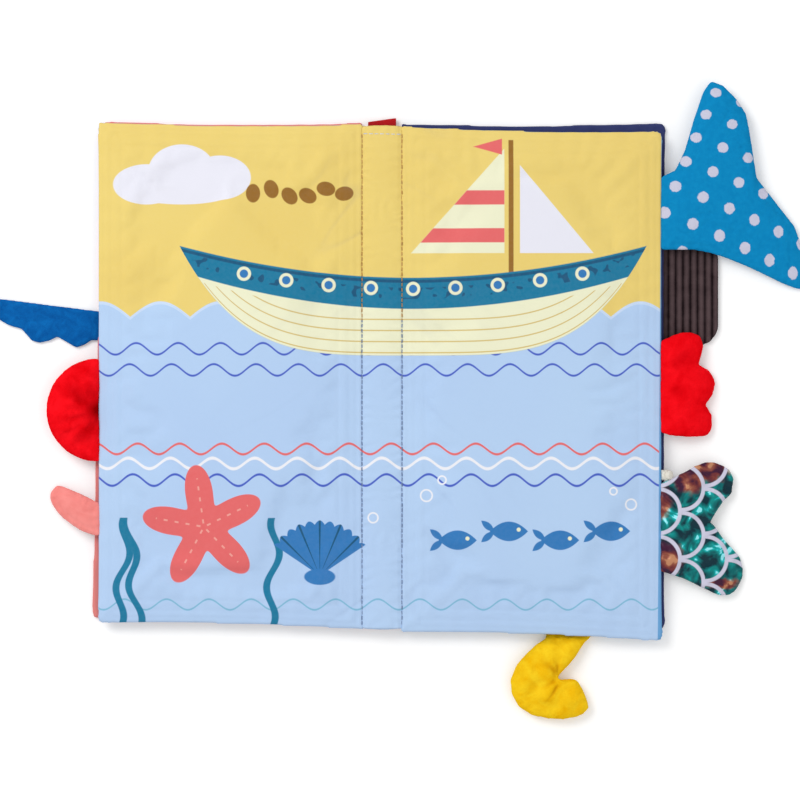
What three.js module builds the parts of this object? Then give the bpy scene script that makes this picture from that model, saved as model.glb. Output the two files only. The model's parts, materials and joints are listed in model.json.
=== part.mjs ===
// A soft cloth book for babies, lying open at its middle pages. Four padded leaves are sewn to a
// narrow spine, and tails of different cloths are sewn into the leaves' edges.
// Lengths are in millimetres: X runs right across the spread, Y up the page, Z up from the table.
import * as THREE from "three";

// Driving sizes of the book
const pageHeight = 228;
const pageWidth = 117.5;
const spineWidth = 18;
const leafThickness = 5;
const cornerRadius = 7;
const stitchCorner = 1.2;
const leastCorner = 0.8;
const edgeDrawIn = 1.1;

// Cloth, filling and the gaps between pieces that are sewn together
const cloth = 0.6;
const filmThickness = 0.3;
const seamGap = 0.3;
const seamHeight = 1.2;
const crownRoll = 30;
const seamRoll = 2;
const crownLift = 0.6;
const backRoll = 8;
const fillingInset = 8;

// Where a leaf's corners lie, as shares of the page's width and height, in the order outer bottom,
// outer top, spine top, spine bottom: the sheets lie a little askew on each other.
const pageLeftCornerShares = [[1.008, -0.478], [1.008, 0.509], [0, 0.505], [0, -0.491]];
const pageRightCornerShares = [[0.994, -0.511], [0.994, 0.491], [0, 0.501], [0, -0.493]];
const coverLeftCornerShares = [[1.034, -0.471], [0.998, 0.512], [0, 0.509], [0, -0.487]];
const coverRightCornerShares = [[1.018, -0.495], [1.021, 0.509], [0, 0.507], [0, -0.489]];

// How finely the leaves are divided
const arcSteps = 4;
const sideSteps = 5;

// The spine's strips, between the two lines of stitches
const spineTopShare = 0.5;
const spineBottomShare = -0.49;
const spineStrip = 0.9;
const spinePad = 3.1;
const spineCrown = 0.6;
const stitchGap = seamGap / 2;
const spineRows = 6;

// Tails: shared sizes
const felt = 1.5;
const plush = 1.1;
const tailRest = 0.35;
const pageLevel = leafThickness + seamGap;

// The spotted fluke, sewn into the right page's edge
const flukeReach = 65.6;
const flukeSpan = 93.6;
const flukeFootShare = 0.1795;
const flukeFrontSwell = 3.2;
const flukeBackSwell = 0.9;
const flukeShares = [
  [0, 0.191, 0.539],
  [0.093, 0.191, 0.572],
  [0.157, 0.191, 0.666],
  [0.218, 0.191, 0.813],
  [0.285, 0.182, 0.951],
  [0.336, 0.175, 1],
  [0.415, 0.158, 0.981],
  [0.513, 0.132, 0.911],
  [0.574, 0.114, 0.847],
  [0.598, 0.108, 0.761],
  [0.647, 0.092, 0.538],
  [0.722, 0.067, 0.47],
  [0.844, 0.027, 0.364],
  [0.911, 0.01, 0.306],
  [0.962, 0, 0.212],
  [1, 0.037, 0.118],
];

// The corduroy tail, sewn into the right cover's edge
const corduroyReach = 22;
const corduroySpan = 47;
const corduroyFootShare = 0.0702;
const corduroyCorner = 9;
const cornerFullShare = 0.98;
const ribPitch = 3.3;
const ribHeight = 0.5;
const ribFade = 2;
const ribSteps = 4;

// The three-lobed plush tail, sewn into the right page's edge
const lobedReach = 24.2;
const lobedSpan = 46.6;
const lobedFootShare = -0.111;
const lobedFrontSwell = 3.4;
const lobedBackSwell = 1;
const lobedShares = [
  [0, 0.405, 0.781],
  [0.015, 0.124, 0.847],
  [0.043, 0, 0.893],
  [0.077, 0, 0.934],
  [0.195, 0, 0.934],
  [0.253, 0, 0.868],
  [0.305, 0, 0.802],
  [0.393, 0, 0.934],
  [0.511, 0, 1],
  [0.586, 0, 0.942],
  [0.639, 0, 0.86],
  [0.689, 0, 0.669],
  [0.779, 0, 0.723],
  [0.867, 0, 0.764],
  [0.916, 0, 0.744],
  [0.966, 0.186, 0.707],
  [1, 0.372, 0.537],
];

// The foil fish tail, sewn into the right page's edge
const foilReach = 36.9;
const foilSpan = 59.7;
const foilFootShare = -0.4254;
const foilRootTopShare = 0.842;
const foilFrontSwell = 1.6;
const foilBackSwell = 0.5;
const foilShares = [
  [0, 0.705, 0.813],
  [0.034, 0.585, 0.9],
  [0.084, 0.415, 0.949],
  [0.131, 0.26, 0.984],
  [0.184, 0, 0.995],
  [0.276, 0, 0.959],
  [0.352, 0, 0.854],
  [0.415, 0, 0.759],
  [0.486, 0, 0.672],
  [0.554, 0, 0.585],
  [0.637, 0, 0.664],
  [0.709, 0, 0.745],
  [0.769, 0, 0.846],
  [0.842, 0, 0.867],
  [0.878, 0.127, 0.87],
  [0.938, 0.314, 0.827],
  [0.97, 0.404, 0.759],
  [1, 0.528, 0.637],
];

// The satin tail, sewn into the left page's edge
const satinReach = 21.9;
const satinSpan = 22.5;
const satinFootShare = -0.3079;
const satinFrontSwell = 1.8;
const satinBackSwell = 0.5;
const satinShares = [
  [0, 0, 0.644],
  [0.183, 0.053, 0.747],
  [0.365, 0.12, 0.831],
  [0.548, 0.236, 0.902],
  [0.74, 0.369, 0.978],
  [0.858, 0.498, 1],
  [0.954, 0.622, 0.907],
  [1, 0.747, 0.836],
];

// The scalloped felt fin, sewn into the left cover's edge
const finReach = 51.3;
const finSpan = 21.6;
const finFootShare = 0.0654;
const finShares = [
  [0, 0.144, 0.741],
  [0.053, 0.162, 0.755],
  [0.117, 0.06, 0.773],
  [0.185, 0, 0.796],
  [0.263, 0.106, 0.819],
  [0.351, 0.231, 0.843],
  [0.429, 0.144, 0.866],
  [0.505, 0.102, 0.889],
  [0.575, 0.144, 0.912],
  [0.667, 0.398, 0.94],
  [0.776, 0.463, 0.972],
  [0.877, 0.602, 1],
  [0.955, 0.745, 0.958],
  [1, 0.856, 0.912],
];

// The curled plush tail, sewn into the left page's edge
const curlRadius = 23;
const curlHole = 2.5;
const curlPlaceShare = -0.0592;
const curlThickness = 12;
const curlGathers = 9;
const curlGatherShare = 0.07;
const curlRows = 30;

// The hooked plush tail, sewn into the right cover's lower edge. Each row holds a point of its
// outer edge and one of its inner edge, across and down from the root's near corner.
const hookReach = 38;
const hookPlaceShare = 0.548;
const hookThickness = 7.6;
const hookCreases = 7;
const hookCreaseShare = 0.08;
const hookMiddleShare = 0.35;
const hookRootTaper = 5;
const hookStandoff = 0.4;
const hookShares = [
  [0, 0, 0.568, 0],
  [-0.018, 0.124, 0.503, 0.113],
  [-0.121, 0.187, 0.426, 0.166],
  [-0.239, 0.295, 0.35, 0.284],
  [-0.339, 0.413, 0.263, 0.387],
  [-0.405, 0.571, 0.2, 0.479],
  [-0.389, 0.729, 0.189, 0.517],
  [-0.313, 0.866, 0.229, 0.516],
  [-0.168, 0.953, 0.29, 0.534],
  [0.016, 0.992, 0.358, 0.589],
  [0.2, 0.995, 0.416, 0.689],
  [0.345, 0.971, 0.463, 0.795],
  [0.426, 0.939, 0.484, 0.874],
];

// The end of white cord in the right page's edge, and the ribbon loop in the spine's top edge
const cordDiameter = 4;
const cordLength = 4.8;
const cordStandoff = 3.9;
const cordSides = 10;
const cordEndSteps = 3;
const ribbonWidth = 12.1;
const ribbonReach = 6.4;
const ribbonThickness = 0.5;
const ribbonBend = 0.35;

// Shares of the way across a tail at which its surface is shaped
const acrossShares = [0, 0.06, 0.18, 0.34, 0.5, 0.66, 0.82, 0.94, 1];
const plainAcrossShares = [0, 0.1, 0.3, 0.5, 0.7, 0.9, 1];
const flatAcrossShares = [0, 0.5, 1];
const fillingShares = [0.2, 0.35, 0.5, 0.65, 0.8];
const fillingEdgeShare = 0.15;
const roundness = 0.5;

/** A cloth's material from its colour on a 0 to 255 scale. */
function clothMaterial(red, green, blue, roughness, metalness = 0) {
  const color = new THREE.Color();
  color.setRGB(red / 255, green / 255, blue / 255, THREE.SRGBColorSpace);
  return new THREE.MeshStandardMaterial({ color, roughness, metalness });
}

const finishes = {
  printedPage: () => clothMaterial(200, 202, 190, 0.85),
  blueLining: () => clothMaterial(178, 205, 238, 0.85),
  yellowLining: () => clothMaterial(229, 205, 118, 0.85),
  coralCanvas: () => clothMaterial(230, 128, 124, 0.85),
  navyCanvas: () => clothMaterial(51, 59, 106, 0.85),
  wadding: () => clothMaterial(240, 240, 236, 1),
  film: () => clothMaterial(222, 228, 232, 0.35),
  spottedCloth: () => clothMaterial(17, 140, 196, 0.9),
  corduroy: () => clothMaterial(61, 47, 49, 0.95),
  redPlush: () => clothMaterial(226, 10, 22, 1),
  foil: () => clothMaterial(10, 120, 124, 0.3, 0.8),
  felt: () => clothMaterial(20, 98, 172, 1),
  satin: () => clothMaterial(249, 147, 143, 0.5),
  yellowPlush: () => clothMaterial(245, 190, 20, 1),
  whiteCord: () => clothMaterial(238, 236, 230, 0.9),
  ribbon: () => clothMaterial(208, 13, 22, 0.5),
};

/** One named piece with a material of its own. */
function piece(name, geometry, finish) {
  const mesh = new THREE.Mesh(geometry, finishes[finish]());
  mesh.name = name;
  return mesh;
}

/** A group that holds pieces at a place. */
function assembly(place, ...children) {
  const group = new THREE.Group();
  group.position.copy(place);
  group.add(...children);
  return group;
}

/** A geometry from a list of points and a list of triangles. */
function surface(points, faces) {
  const geometry = new THREE.BufferGeometry();
  const positions = points.flatMap((point) => point.toArray());
  geometry.setAttribute("position", new THREE.Float32BufferAttribute(positions, 3));
  geometry.setIndex(faces.flat());
  geometry.computeVertexNormals();
  return geometry;
}

/** A closed body through rings of equal count, with a pole at each end. */
function loft(firstPole, rings, lastPole) {
  const count = rings[0].length;
  const points = [firstPole, ...rings.flat(), lastPole];
  const at = (ring, index) => 1 + ring * count + (index % count);
  const faces = [];
  for (let index = 0; index < count; index += 1) {
    faces.push([0, at(0, index), at(0, index + 1)]);
    for (let ring = 1; ring < rings.length; ring += 1) {
      faces.push([at(ring - 1, index), at(ring, index), at(ring, index + 1)]);
      faces.push([at(ring - 1, index), at(ring, index + 1), at(ring - 1, index + 1)]);
    }
    faces.push([at(rings.length - 1, index), points.length - 1, at(rings.length - 1, index + 1)]);
  }
  return surface(points, faces);
}

/** The grid points of a slab's edge, in order round it. */
function gridEdge(rows, columns) {
  const edge = [];
  for (let column = 0; column < columns - 1; column += 1) {
    edge.push(column);
  }
  for (let row = 0; row < rows - 1; row += 1) {
    edge.push(row * columns + columns - 1);
  }
  for (let column = columns - 1; column > 0; column -= 1) {
    edge.push((rows - 1) * columns + column);
  }
  for (let row = rows - 1; row > 0; row -= 1) {
    edge.push(row * columns);
  }
  return edge;
}

/**
 * A closed body between a low and a high surface over a grid. Each row holds its share of the way
 * along and its two end points; low and high give a height from the share along, the share across
 * and the point on the plan.
 */
function slab(rows, shares, low, high) {
  const plan = rows.flatMap(({ along, from, to }) =>
    shares.map((across) => ({ along, across, spot: from.clone().lerp(to, across) })),
  );
  const raise = (height) =>
    plan.map(({ along, across, spot }) => {
      return new THREE.Vector3(spot.x, spot.y, height(along, across, spot));
    });
  const points = [...raise(low), ...raise(high)];
  const columns = shares.length;
  const edge = gridEdge(rows.length, columns);
  const turnsLeft = !THREE.ShapeUtils.isClockWise(edge.map((index) => plan[index].spot));
  const faces = [];
  for (let row = 0; row < rows.length - 1; row += 1) {
    for (let column = 0; column < columns - 1; column += 1) {
      const a = row * columns + column;
      const b = a + 1;
      const c = b + columns;
      const d = a + columns;
      faces.push([a, c, b], [a, d, c]);
      faces.push([plan.length + a, plan.length + b, plan.length + c]);
      faces.push([plan.length + a, plan.length + c, plan.length + d]);
    }
  }
  edge.forEach((here, index) => {
    const next = edge[(index + 1) % edge.length];
    faces.push([here, next, plan.length + next], [here, plan.length + next, plan.length + here]);
  });
  return surface(points, turnsLeft ? faces : faces.map(([a, b, c]) => [a, c, b]));
}

/** How full a sewn shape is at a place, from 0 at its seam to 1 at its middle. */
function fullness(along, across) {
  return (Math.max(0, Math.sin(Math.PI * along)) * Math.max(0, Math.sin(Math.PI * across))) ** roundness;
}

/** A leaf's outline at an inset from its seam, anticlockwise, on the plan of a square-cut leaf. */
function squareRing(inset) {
  const outer = Math.max(cornerRadius - inset, leastCorner);
  const inner = Math.max(stitchCorner - inset, leastCorner);
  const near = inset;
  const far = pageWidth - inset;
  const half = pageHeight / 2 - inset;
  const corners = [
    { radius: outer, centre: new THREE.Vector2(far - outer, outer - half) },
    { radius: outer, centre: new THREE.Vector2(far - outer, half - outer) },
    { radius: inner, centre: new THREE.Vector2(near + inner, half - inner) },
    { radius: inner, centre: new THREE.Vector2(near + inner, inner - half) },
  ];
  const onArc = ({ radius, centre }, quarter) => {
    const angle = (quarter * Math.PI) / 2;
    return new THREE.Vector2(Math.cos(angle), Math.sin(angle)).multiplyScalar(radius).add(centre);
  };
  return corners.flatMap((corner, index) => {
    const arc = Array.from({ length: arcSteps + 1 }, (_, step) => {
      return onArc(corner, index - 1 + step / arcSteps);
    });
    const start = onArc(corner, index);
    const end = onArc(corners[(index + 1) % corners.length], index);
    const side = Array.from({ length: sideSteps - 1 }, (_, step) => {
      return start.clone().lerp(end, (step + 1) / sideSteps);
    });
    return [...arc, ...side];
  });
}

/** Moves a point of the square-cut leaf to where the leaf lies, with its edges drawn in. */
function layPoint(point, cornerShares, side) {
  const across = point.x / pageWidth;
  const up = point.y / pageHeight + 1 / 2;
  const [outerLow, outerHigh, spineHigh, spineLow] = cornerShares.map(([x, y]) => {
    return new THREE.Vector2(x * pageWidth, y * pageHeight);
  });
  const low = spineLow.lerp(outerLow, across);
  const laid = low.lerp(spineHigh.lerp(outerHigh, across), up);
  laid.y -= (2 * up - 1) * edgeDrawIn * Math.sin(Math.PI * Math.min(Math.max(across, 0), 1));
  laid.x = side * (laid.x + stitchGap);
  return laid;
}

/** A leaf's ring at an inset and a height, anticlockwise seen from above. */
function leafRing(leaf, inset, height) {
  const flat = squareRing(inset).map((point) => layPoint(point, leaf.cornerShares, leaf.side));
  const ring = leaf.side < 0 ? flat.reverse() : flat;
  return ring.map((point) => new THREE.Vector3(point.x, point.y, height));
}

/** The middle of a leaf at a height. */
function leafPole(leaf, height) {
  const middle = layPoint(new THREE.Vector2(pageWidth / 2, 0), leaf.cornerShares, leaf.side);
  return new THREE.Vector3(middle.x, middle.y, height);
}

/** The height of a leaf's front face above its flat back, at an inset from the seam. */
function frontHeight(inset) {
  const rim = seamHeight + seamGap / 2 + cloth;
  const rise = 1 - (1 - Math.min(inset / crownRoll, 1)) ** 2;
  return rim + (leafThickness - crownLift - rim) * rise;
}

/** The height of a leaf's back face, which turns up to the seam. */
function backHeight(inset) {
  const rim = seamHeight - seamGap / 2 - cloth;
  return rim * (1 - Math.min(inset / backRoll, 1)) ** 2;
}

/** A leaf's layer between two faces of the front's shape, sunk below it by the given depths. */
function frontLayer(leaf, insets, topDepth, lowDepth) {
  const inward = [...insets].reverse();
  const top = inward.map((inset) => leafRing(leaf, inset, frontHeight(inset) - topDepth));
  const low = insets.map((inset) => leafRing(leaf, inset, frontHeight(inset) - lowDepth));
  const poles = [topDepth, lowDepth].map((depth) => leafPole(leaf, leafThickness - depth));
  return loft(poles[0], [...top, ...low], poles[1]);
}

/** A leaf's crowned front panel. */
function frontPanel(leaf) {
  const insets = [0, seamRoll, fillingInset, crownRoll / 2, crownRoll];
  return frontLayer(leaf, insets, 0, cloth);
}

/** The crinkly film that lies under a leaf's front panel. */
function crinkleFilm(leaf) {
  const top = cloth + seamGap;
  return frontLayer(leaf, [fillingInset, crownRoll / 2, crownRoll], top, top + filmThickness);
}

/** The soft filling between the film and the back panel. */
function leafWadding(leaf) {
  const depth = cloth + seamGap + filmThickness + seamGap;
  const floor = cloth + seamGap;
  const top = [crownRoll, crownRoll / 2, fillingInset].map((inset) => {
    return leafRing(leaf, inset, frontHeight(inset) - depth);
  });
  const low = leafRing(leaf, fillingInset, floor);
  return loft(leafPole(leaf, leafThickness - depth), [...top, low], leafPole(leaf, floor));
}

/** A leaf's flat back panel, turned up to the seam. */
function backPanel(leaf) {
  const insets = [0, backRoll / 3, backRoll];
  const top = [...insets].reverse().map((inset) => leafRing(leaf, inset, backHeight(inset) + cloth));
  const low = insets.map((inset) => leafRing(leaf, inset, backHeight(inset)));
  return loft(leafPole(leaf, cloth), [...top, ...low], leafPole(leaf, 0));
}

/** The four pieces of one leaf. */
function leafPieces(leaf) {
  return [
    piece(`${leaf.name}_front`, frontPanel(leaf), leaf.frontFinish),
    piece(`${leaf.name}_film`, crinkleFilm(leaf), "film"),
    piece(`${leaf.name}_wadding`, leafWadding(leaf), "wadding"),
    piece(`${leaf.name}_back`, backPanel(leaf), leaf.backFinish),
  ];
}

/** How far from the stitches a leaf's outer seam lies at a share of the page's height. */
function seamReach(leaf, heightShare) {
  const [[lowReach, low], [highReach, high]] = leaf.cornerShares;
  const up = THREE.MathUtils.inverseLerp(low, high, heightShare);
  return stitchGap + THREE.MathUtils.lerp(lowReach, highReach, up) * pageWidth;
}

/** Rows across a tail that reaches away from the seam: share of reach, low edge and high edge. */
function reachRows(table, side, reach, span) {
  return table.map(([out, low, high]) => ({
    along: out,
    from: new THREE.Vector2(side * out * reach, low * span),
    to: new THREE.Vector2(side * out * reach, high * span),
  }));
}

/** Rows across a tail that spreads along the seam: share of span, near edge and far edge. */
function spanRows(table, side, reach, span) {
  return table.map(([up, near, far]) => ({
    along: up,
    from: new THREE.Vector2(side * near * reach, up * span),
    to: new THREE.Vector2(side * far * reach, up * span),
  }));
}

/** The height of a tail's middle as it hangs from the page's seam down to the table. */
function hang(spot, reach, thickness) {
  const drop = pageLevel + seamHeight - seamGap / 2 - thickness - tailRest;
  return -drop * (Math.abs(spot.x) / reach) ** 2;
}

/** A tail's front panel: flat below where its pile makes it thick, or hollow over a filling. */
function frontCloth(rows, shares, { reach, pile, frontSwell, filled }) {
  const base = (spot) => hang(spot, reach, pile) + seamGap / 2;
  const swell = (along, across) => frontSwell * fullness(along, across);
  const low = (along, across, spot) => base(spot) + (filled ? swell(along, across) : 0);
  const high = (along, across, spot) => base(spot) + pile + swell(along, across);
  return slab(rows, shares, low, high);
}

/** A tail's back panel. */
function backCloth(rows, shares, { reach, pile, backSwell }) {
  const base = (spot) => hang(spot, reach, pile) - seamGap / 2;
  const low = (along, across, spot) => base(spot) - pile - backSwell * fullness(along, across);
  return slab(rows, shares, low, (along, across, spot) => base(spot));
}

/** The filling of a tail, clear of both panels. */
function tailFilling(rows, { reach, pile, frontSwell }) {
  const base = (spot) => hang(spot, reach, pile) + seamGap / 2;
  const high = (along, across, spot) => base(spot) + frontSwell * fullness(along, across) - seamGap;
  const filled = rows.filter(({ along }) => along > fillingEdgeShare && along < 1 - fillingEdgeShare);
  return slab(filled, fillingShares, (along, across, spot) => base(spot), high);
}

/** A tail of two panels, as a group at its place on a page's seam. */
function sewnTail(name, leaf, rows, shares, sizes) {
  const pieces = [
    piece(`${name}_front`, frontCloth(rows, shares, sizes), sizes.finish),
    piece(`${name}_back`, backCloth(rows, shares, sizes), sizes.finish),
  ];
  if (sizes.filled) {
    pieces.push(piece(`${name}_wadding`, tailFilling(rows, sizes), "wadding"));
  }
  return onSeam(leaf, sizes.footShare, sizes.span, ...pieces);
}

/** A group on a leaf's outer seam, clear of it from its foot to the top of its root. */
function onSeam(leaf, footShare, rootSpan, ...children) {
  const ends = [footShare, footShare + rootSpan / pageHeight];
  const reach = Math.max(...ends.map((share) => seamReach(leaf, share)));
  const across = leaf.side * (reach + seamGap);
  return assembly(new THREE.Vector3(across, footShare * pageHeight, seamHeight), ...children);
}

/** The spotted, filled fluke. */
function flukeTail(leaf) {
  const rows = reachRows(flukeShares, leaf.side, flukeReach, flukeSpan);
  return sewnTail("fluke_tail", leaf, rows, acrossShares, {
    reach: flukeReach,
    pile: cloth,
    frontSwell: flukeFrontSwell,
    backSwell: flukeBackSwell,
    footShare: flukeFootShare,
    span: flukeSpan,
    finish: "spottedCloth",
    filled: true,
  });
}

/** The plush tail with three lobes. */
function lobedTail(leaf) {
  const rows = spanRows(lobedShares, leaf.side, lobedReach, lobedSpan);
  return sewnTail("lobed_tail", leaf, rows, plainAcrossShares, {
    reach: lobedReach,
    pile: cloth,
    frontSwell: lobedFrontSwell,
    backSwell: lobedBackSwell,
    footShare: lobedFootShare,
    span: lobedSpan,
    finish: "redPlush",
  });
}

/** The forked foil tail. */
function foilTail(leaf) {
  const rows = spanRows(foilShares, leaf.side, foilReach, foilSpan);
  return sewnTail("foil_tail", leaf, rows, plainAcrossShares, {
    reach: foilReach,
    pile: cloth,
    frontSwell: foilFrontSwell,
    backSwell: foilBackSwell,
    footShare: foilFootShare,
    span: foilSpan,
    finish: "foil",
  });
}

/** The pointed satin tail. */
function satinTail(leaf) {
  const rows = reachRows(satinShares, leaf.side, satinReach, satinSpan);
  return sewnTail("satin_tail", leaf, rows, plainAcrossShares, {
    reach: satinReach,
    pile: cloth,
    frontSwell: satinFrontSwell,
    backSwell: satinBackSwell,
    footShare: satinFootShare,
    span: satinSpan,
    finish: "satin",
  });
}

/** The corduroy tail's two panels, with ribs along the seam's direction on the front one. */
function corduroyTail(leaf) {
  const steps = Math.round((ribSteps * corduroyReach) / ribPitch);
  const row = (share) => {
    const into = Math.max(share * corduroyReach - (corduroyReach - corduroyCorner), 0);
    const trim = corduroyCorner - Math.sqrt(corduroyCorner ** 2 - into ** 2 * cornerFullShare);
    const x = leaf.side * share * corduroyReach;
    return {
      along: share,
      from: new THREE.Vector2(x, trim),
      to: new THREE.Vector2(x, corduroySpan - trim),
    };
  };
  const rows = Array.from({ length: steps + 1 }, (_, step) => row(step / steps));
  const backRows = rows.filter((_, step) => step % ribSteps === 0 || step === steps);
  const rib = (spot) => ribHeight * Math.abs(Math.sin((Math.PI * spot.x) / ribPitch));
  const fade = (along, across) => Math.min(fullness(along, across) * ribFade, 1);
  const top = (along, across, spot) => seamGap / 2 + cloth + rib(spot) * fade(along, across);
  const front = slab(rows, plainAcrossShares, () => seamGap / 2, top);
  const back = slab(backRows, flatAcrossShares, () => -seamGap / 2 - cloth, () => -seamGap / 2);
  return onSeam(
    leaf,
    corduroyFootShare,
    corduroySpan,
    piece("corduroy_tail_front", front, "corduroy"),
    piece("corduroy_tail_back", back, "corduroy"),
  );
}

/** The flat felt fin. */
function feltFin(leaf) {
  const rows = reachRows(finShares, leaf.side, finReach, finSpan);
  const geometry = slab(rows, flatAcrossShares, () => -felt / 2, () => felt / 2);
  return onSeam(leaf, finFootShare, finSpan, piece("felt_fin_tail", geometry, "felt"));
}

/** The curled plush tail: half a ring whose two ends lie on the seam. */
function curledTail(leaf) {
  const spoke = (turn, radius) => {
    return new THREE.Vector2(leaf.side * radius * Math.sin(turn), radius * Math.cos(turn));
  };
  const rows = Array.from({ length: curlRows + 1 }, (_, step) => {
    const turn = (Math.PI * step) / curlRows;
    return { along: step / curlRows, from: spoke(turn, curlHole), to: spoke(turn, curlRadius) };
  });
  const half = (along, across) => {
    const gather = 1 + curlGatherShare * Math.cos(2 * Math.PI * curlGathers * along);
    return plush / 2 + ((curlThickness - plush) / 2) * fullness(along, across) * gather;
  };
  const low = (along, across) => -half(along, across);
  const geometry = slab(rows, acrossShares, low, half);
  return onSeam(leaf, curlPlaceShare, 0, piece("curled_tail", geometry, "redPlush"));
}

/** The hooked plush tail, which lies on the table below the right cover's lower edge. */
function hookedTail(leaf) {
  const spots = hookShares.map(([outerX, outerY, innerX, innerY]) => [
    new THREE.Vector2(outerX, -outerY).multiplyScalar(hookReach),
    new THREE.Vector2(innerX, -innerY).multiplyScalar(hookReach),
  ]);
  const rows = spots.map(([from, to], index) => ({ along: index / (spots.length - 1), from, to }));
  const rim = plush / 2;
  const floor = tailRest - seamHeight;
  const lift = (along) => hookThickness * hookMiddleShare * Math.min(along * hookRootTaper, 1);
  const swell = (along, across) => {
    const crease = 1 + hookCreaseShare * Math.cos(2 * Math.PI * hookCreases * along);
    return (hookThickness * (1 - hookMiddleShare) - rim) * fullness(along, across) * crease;
  };
  const low = (along, across) => {
    return Math.max(lift(along) - rim - lift(along) * 2 * fullness(along, across), floor);
  };
  const high = (along, across) => lift(along) + rim + swell(along, across);
  const place = layPoint(
    new THREE.Vector2(hookPlaceShare * pageWidth, -pageHeight / 2),
    leaf.cornerShares,
    leaf.side,
  );
  return assembly(
    new THREE.Vector3(place.x, place.y - seamGap - hookStandoff, seamHeight),
    piece("hooked_tail", slab(rows, acrossShares, low, high), "yellowPlush"),
  );
}

/** The end of cord that shows beside the foil tail: a round rod with a rounded end. */
function cordEnd(leaf) {
  const radius = cordDiameter / 2;
  const straight = cordLength - seamGap - radius;
  const profile = new THREE.Path();
  profile.moveTo(0, 0);
  profile.lineTo(radius, 0);
  profile.lineTo(radius, straight);
  profile.absarc(0, straight, radius, 0, Math.PI / 2, false);
  const points = profile.getPoints(cordEndSteps);
  const geometry = new THREE.LatheGeometry(points, cordSides);
  geometry.rotateZ((-leaf.side * Math.PI) / 2);
  const rootTop = (foilFootShare * pageHeight + foilRootTopShare * foilSpan + cordStandoff) / pageHeight;
  return onSeam(leaf, rootTop, 0, piece("cord_end", geometry, "whiteCord"));
}

/** The ribbon folded into a loop in the spine's top edge. */
function ribbonLoop() {
  const outer = ribbonBend + ribbonThickness;
  const straight = ribbonReach - outer;
  const shape = new THREE.Shape();
  shape.moveTo(0, -outer);
  shape.lineTo(straight, -outer);
  shape.absarc(straight, 0, outer, -Math.PI / 2, Math.PI / 2, false);
  shape.lineTo(0, outer);
  shape.lineTo(0, ribbonBend);
  shape.lineTo(straight, ribbonBend);
  shape.absarc(straight, 0, ribbonBend, Math.PI / 2, -Math.PI / 2, true);
  shape.lineTo(0, -ribbonBend);
  const geometry = new THREE.ExtrudeGeometry(shape, {
    depth: ribbonWidth,
    bevelEnabled: false,
    curveSegments: arcSteps,
  });
  geometry.translate(0, 0, -ribbonWidth / 2);
  geometry.rotateY(Math.PI / 2);
  geometry.rotateX(Math.PI / 2);
  return geometry;
}

/** The spine's strip, pad and inner strip, with the ribbon loop at their top. */
function spineAssembly() {
  const half = spineWidth / 2 - stitchGap;
  const low = spineBottomShare * pageHeight;
  const high = spineTopShare * pageHeight;
  const rows = Array.from({ length: spineRows + 1 }, (_, step) => {
    const along = step / spineRows;
    const y = THREE.MathUtils.lerp(low, high, along);
    return { along, from: new THREE.Vector2(-half, y), to: new THREE.Vector2(half, y) };
  });
  const padFloor = spineStrip + seamGap;
  const stripFloor = padFloor + spinePad + seamGap;
  const crown = (along, across) => spineCrown * Math.sin(Math.PI * across);
  const crowned = (height) => (along, across) => height + crown(along, across);
  const strip = (floor, top, sourceRows = rows) => slab(sourceRows, plainAcrossShares, floor, top);
  const outer = strip(() => 0, () => spineStrip);
  const pad = strip(() => padFloor, crowned(padFloor + spinePad), rows.slice(1, -1));
  const inner = strip(crowned(stripFloor), crowned(stripFloor + cloth));
  const ribbonHeight = spineStrip + seamGap + ribbonBend + ribbonThickness;
  return assembly(
    new THREE.Vector3(0, 0, 0),
    piece("spine_outer_strip", outer, "coralCanvas"),
    piece("spine_pad", pad, "wadding"),
    piece("spine_inner_strip", inner, "printedPage"),
    assembly(
      new THREE.Vector3(0, high + seamGap, ribbonHeight),
      piece("ribbon_loop", ribbonLoop(), "ribbon"),
    ),
  );
}

/** A page or cover with its tails, hung beside the spine at its own level. */
function leafAssembly(leaf, level, ...tails) {
  const place = new THREE.Vector3((leaf.side * spineWidth) / 2, 0, level);
  return assembly(place, ...leafPieces(leaf), ...tails);
}

const pageLeft = {
  name: "page_left",
  side: -1,
  cornerShares: pageLeftCornerShares,
  frontFinish: "printedPage",
  backFinish: "blueLining",
};
const pageRight = {
  name: "page_right",
  side: 1,
  cornerShares: pageRightCornerShares,
  frontFinish: "printedPage",
  backFinish: "blueLining",
};
const coverLeft = {
  name: "cover_left",
  side: -1,
  cornerShares: coverLeftCornerShares,
  frontFinish: "yellowLining",
  backFinish: "coralCanvas",
};
const coverRight = {
  name: "cover_right",
  side: 1,
  cornerShares: coverRightCornerShares,
  frontFinish: "blueLining",
  backFinish: "navyCanvas",
};

const book = new THREE.Group();
book.add(
  spineAssembly(),
  leafAssembly(pageLeft, pageLevel, curledTail(pageLeft), satinTail(pageLeft)),
  leafAssembly(coverLeft, 0, feltFin(coverLeft)),
  leafAssembly(
    pageRight,
    pageLevel,
    flukeTail(pageRight),
    lobedTail(pageRight),
    foilTail(pageRight),
    cordEnd(pageRight),
  ),
  leafAssembly(coverRight, 0, corduroyTail(coverRight), hookedTail(coverRight)),
);

export default book;
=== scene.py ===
"""Dresses a baby's cloth book: padded printed leaves, a stitched spine and tails of many cloths."""

from __future__ import annotations

import json
import logging
import math
from dataclasses import dataclass, field
from enum import Enum
from typing import Callable, Iterable, Sequence

import bmesh
import bpy
import numpy as np
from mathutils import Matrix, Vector, kdtree, noise

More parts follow.
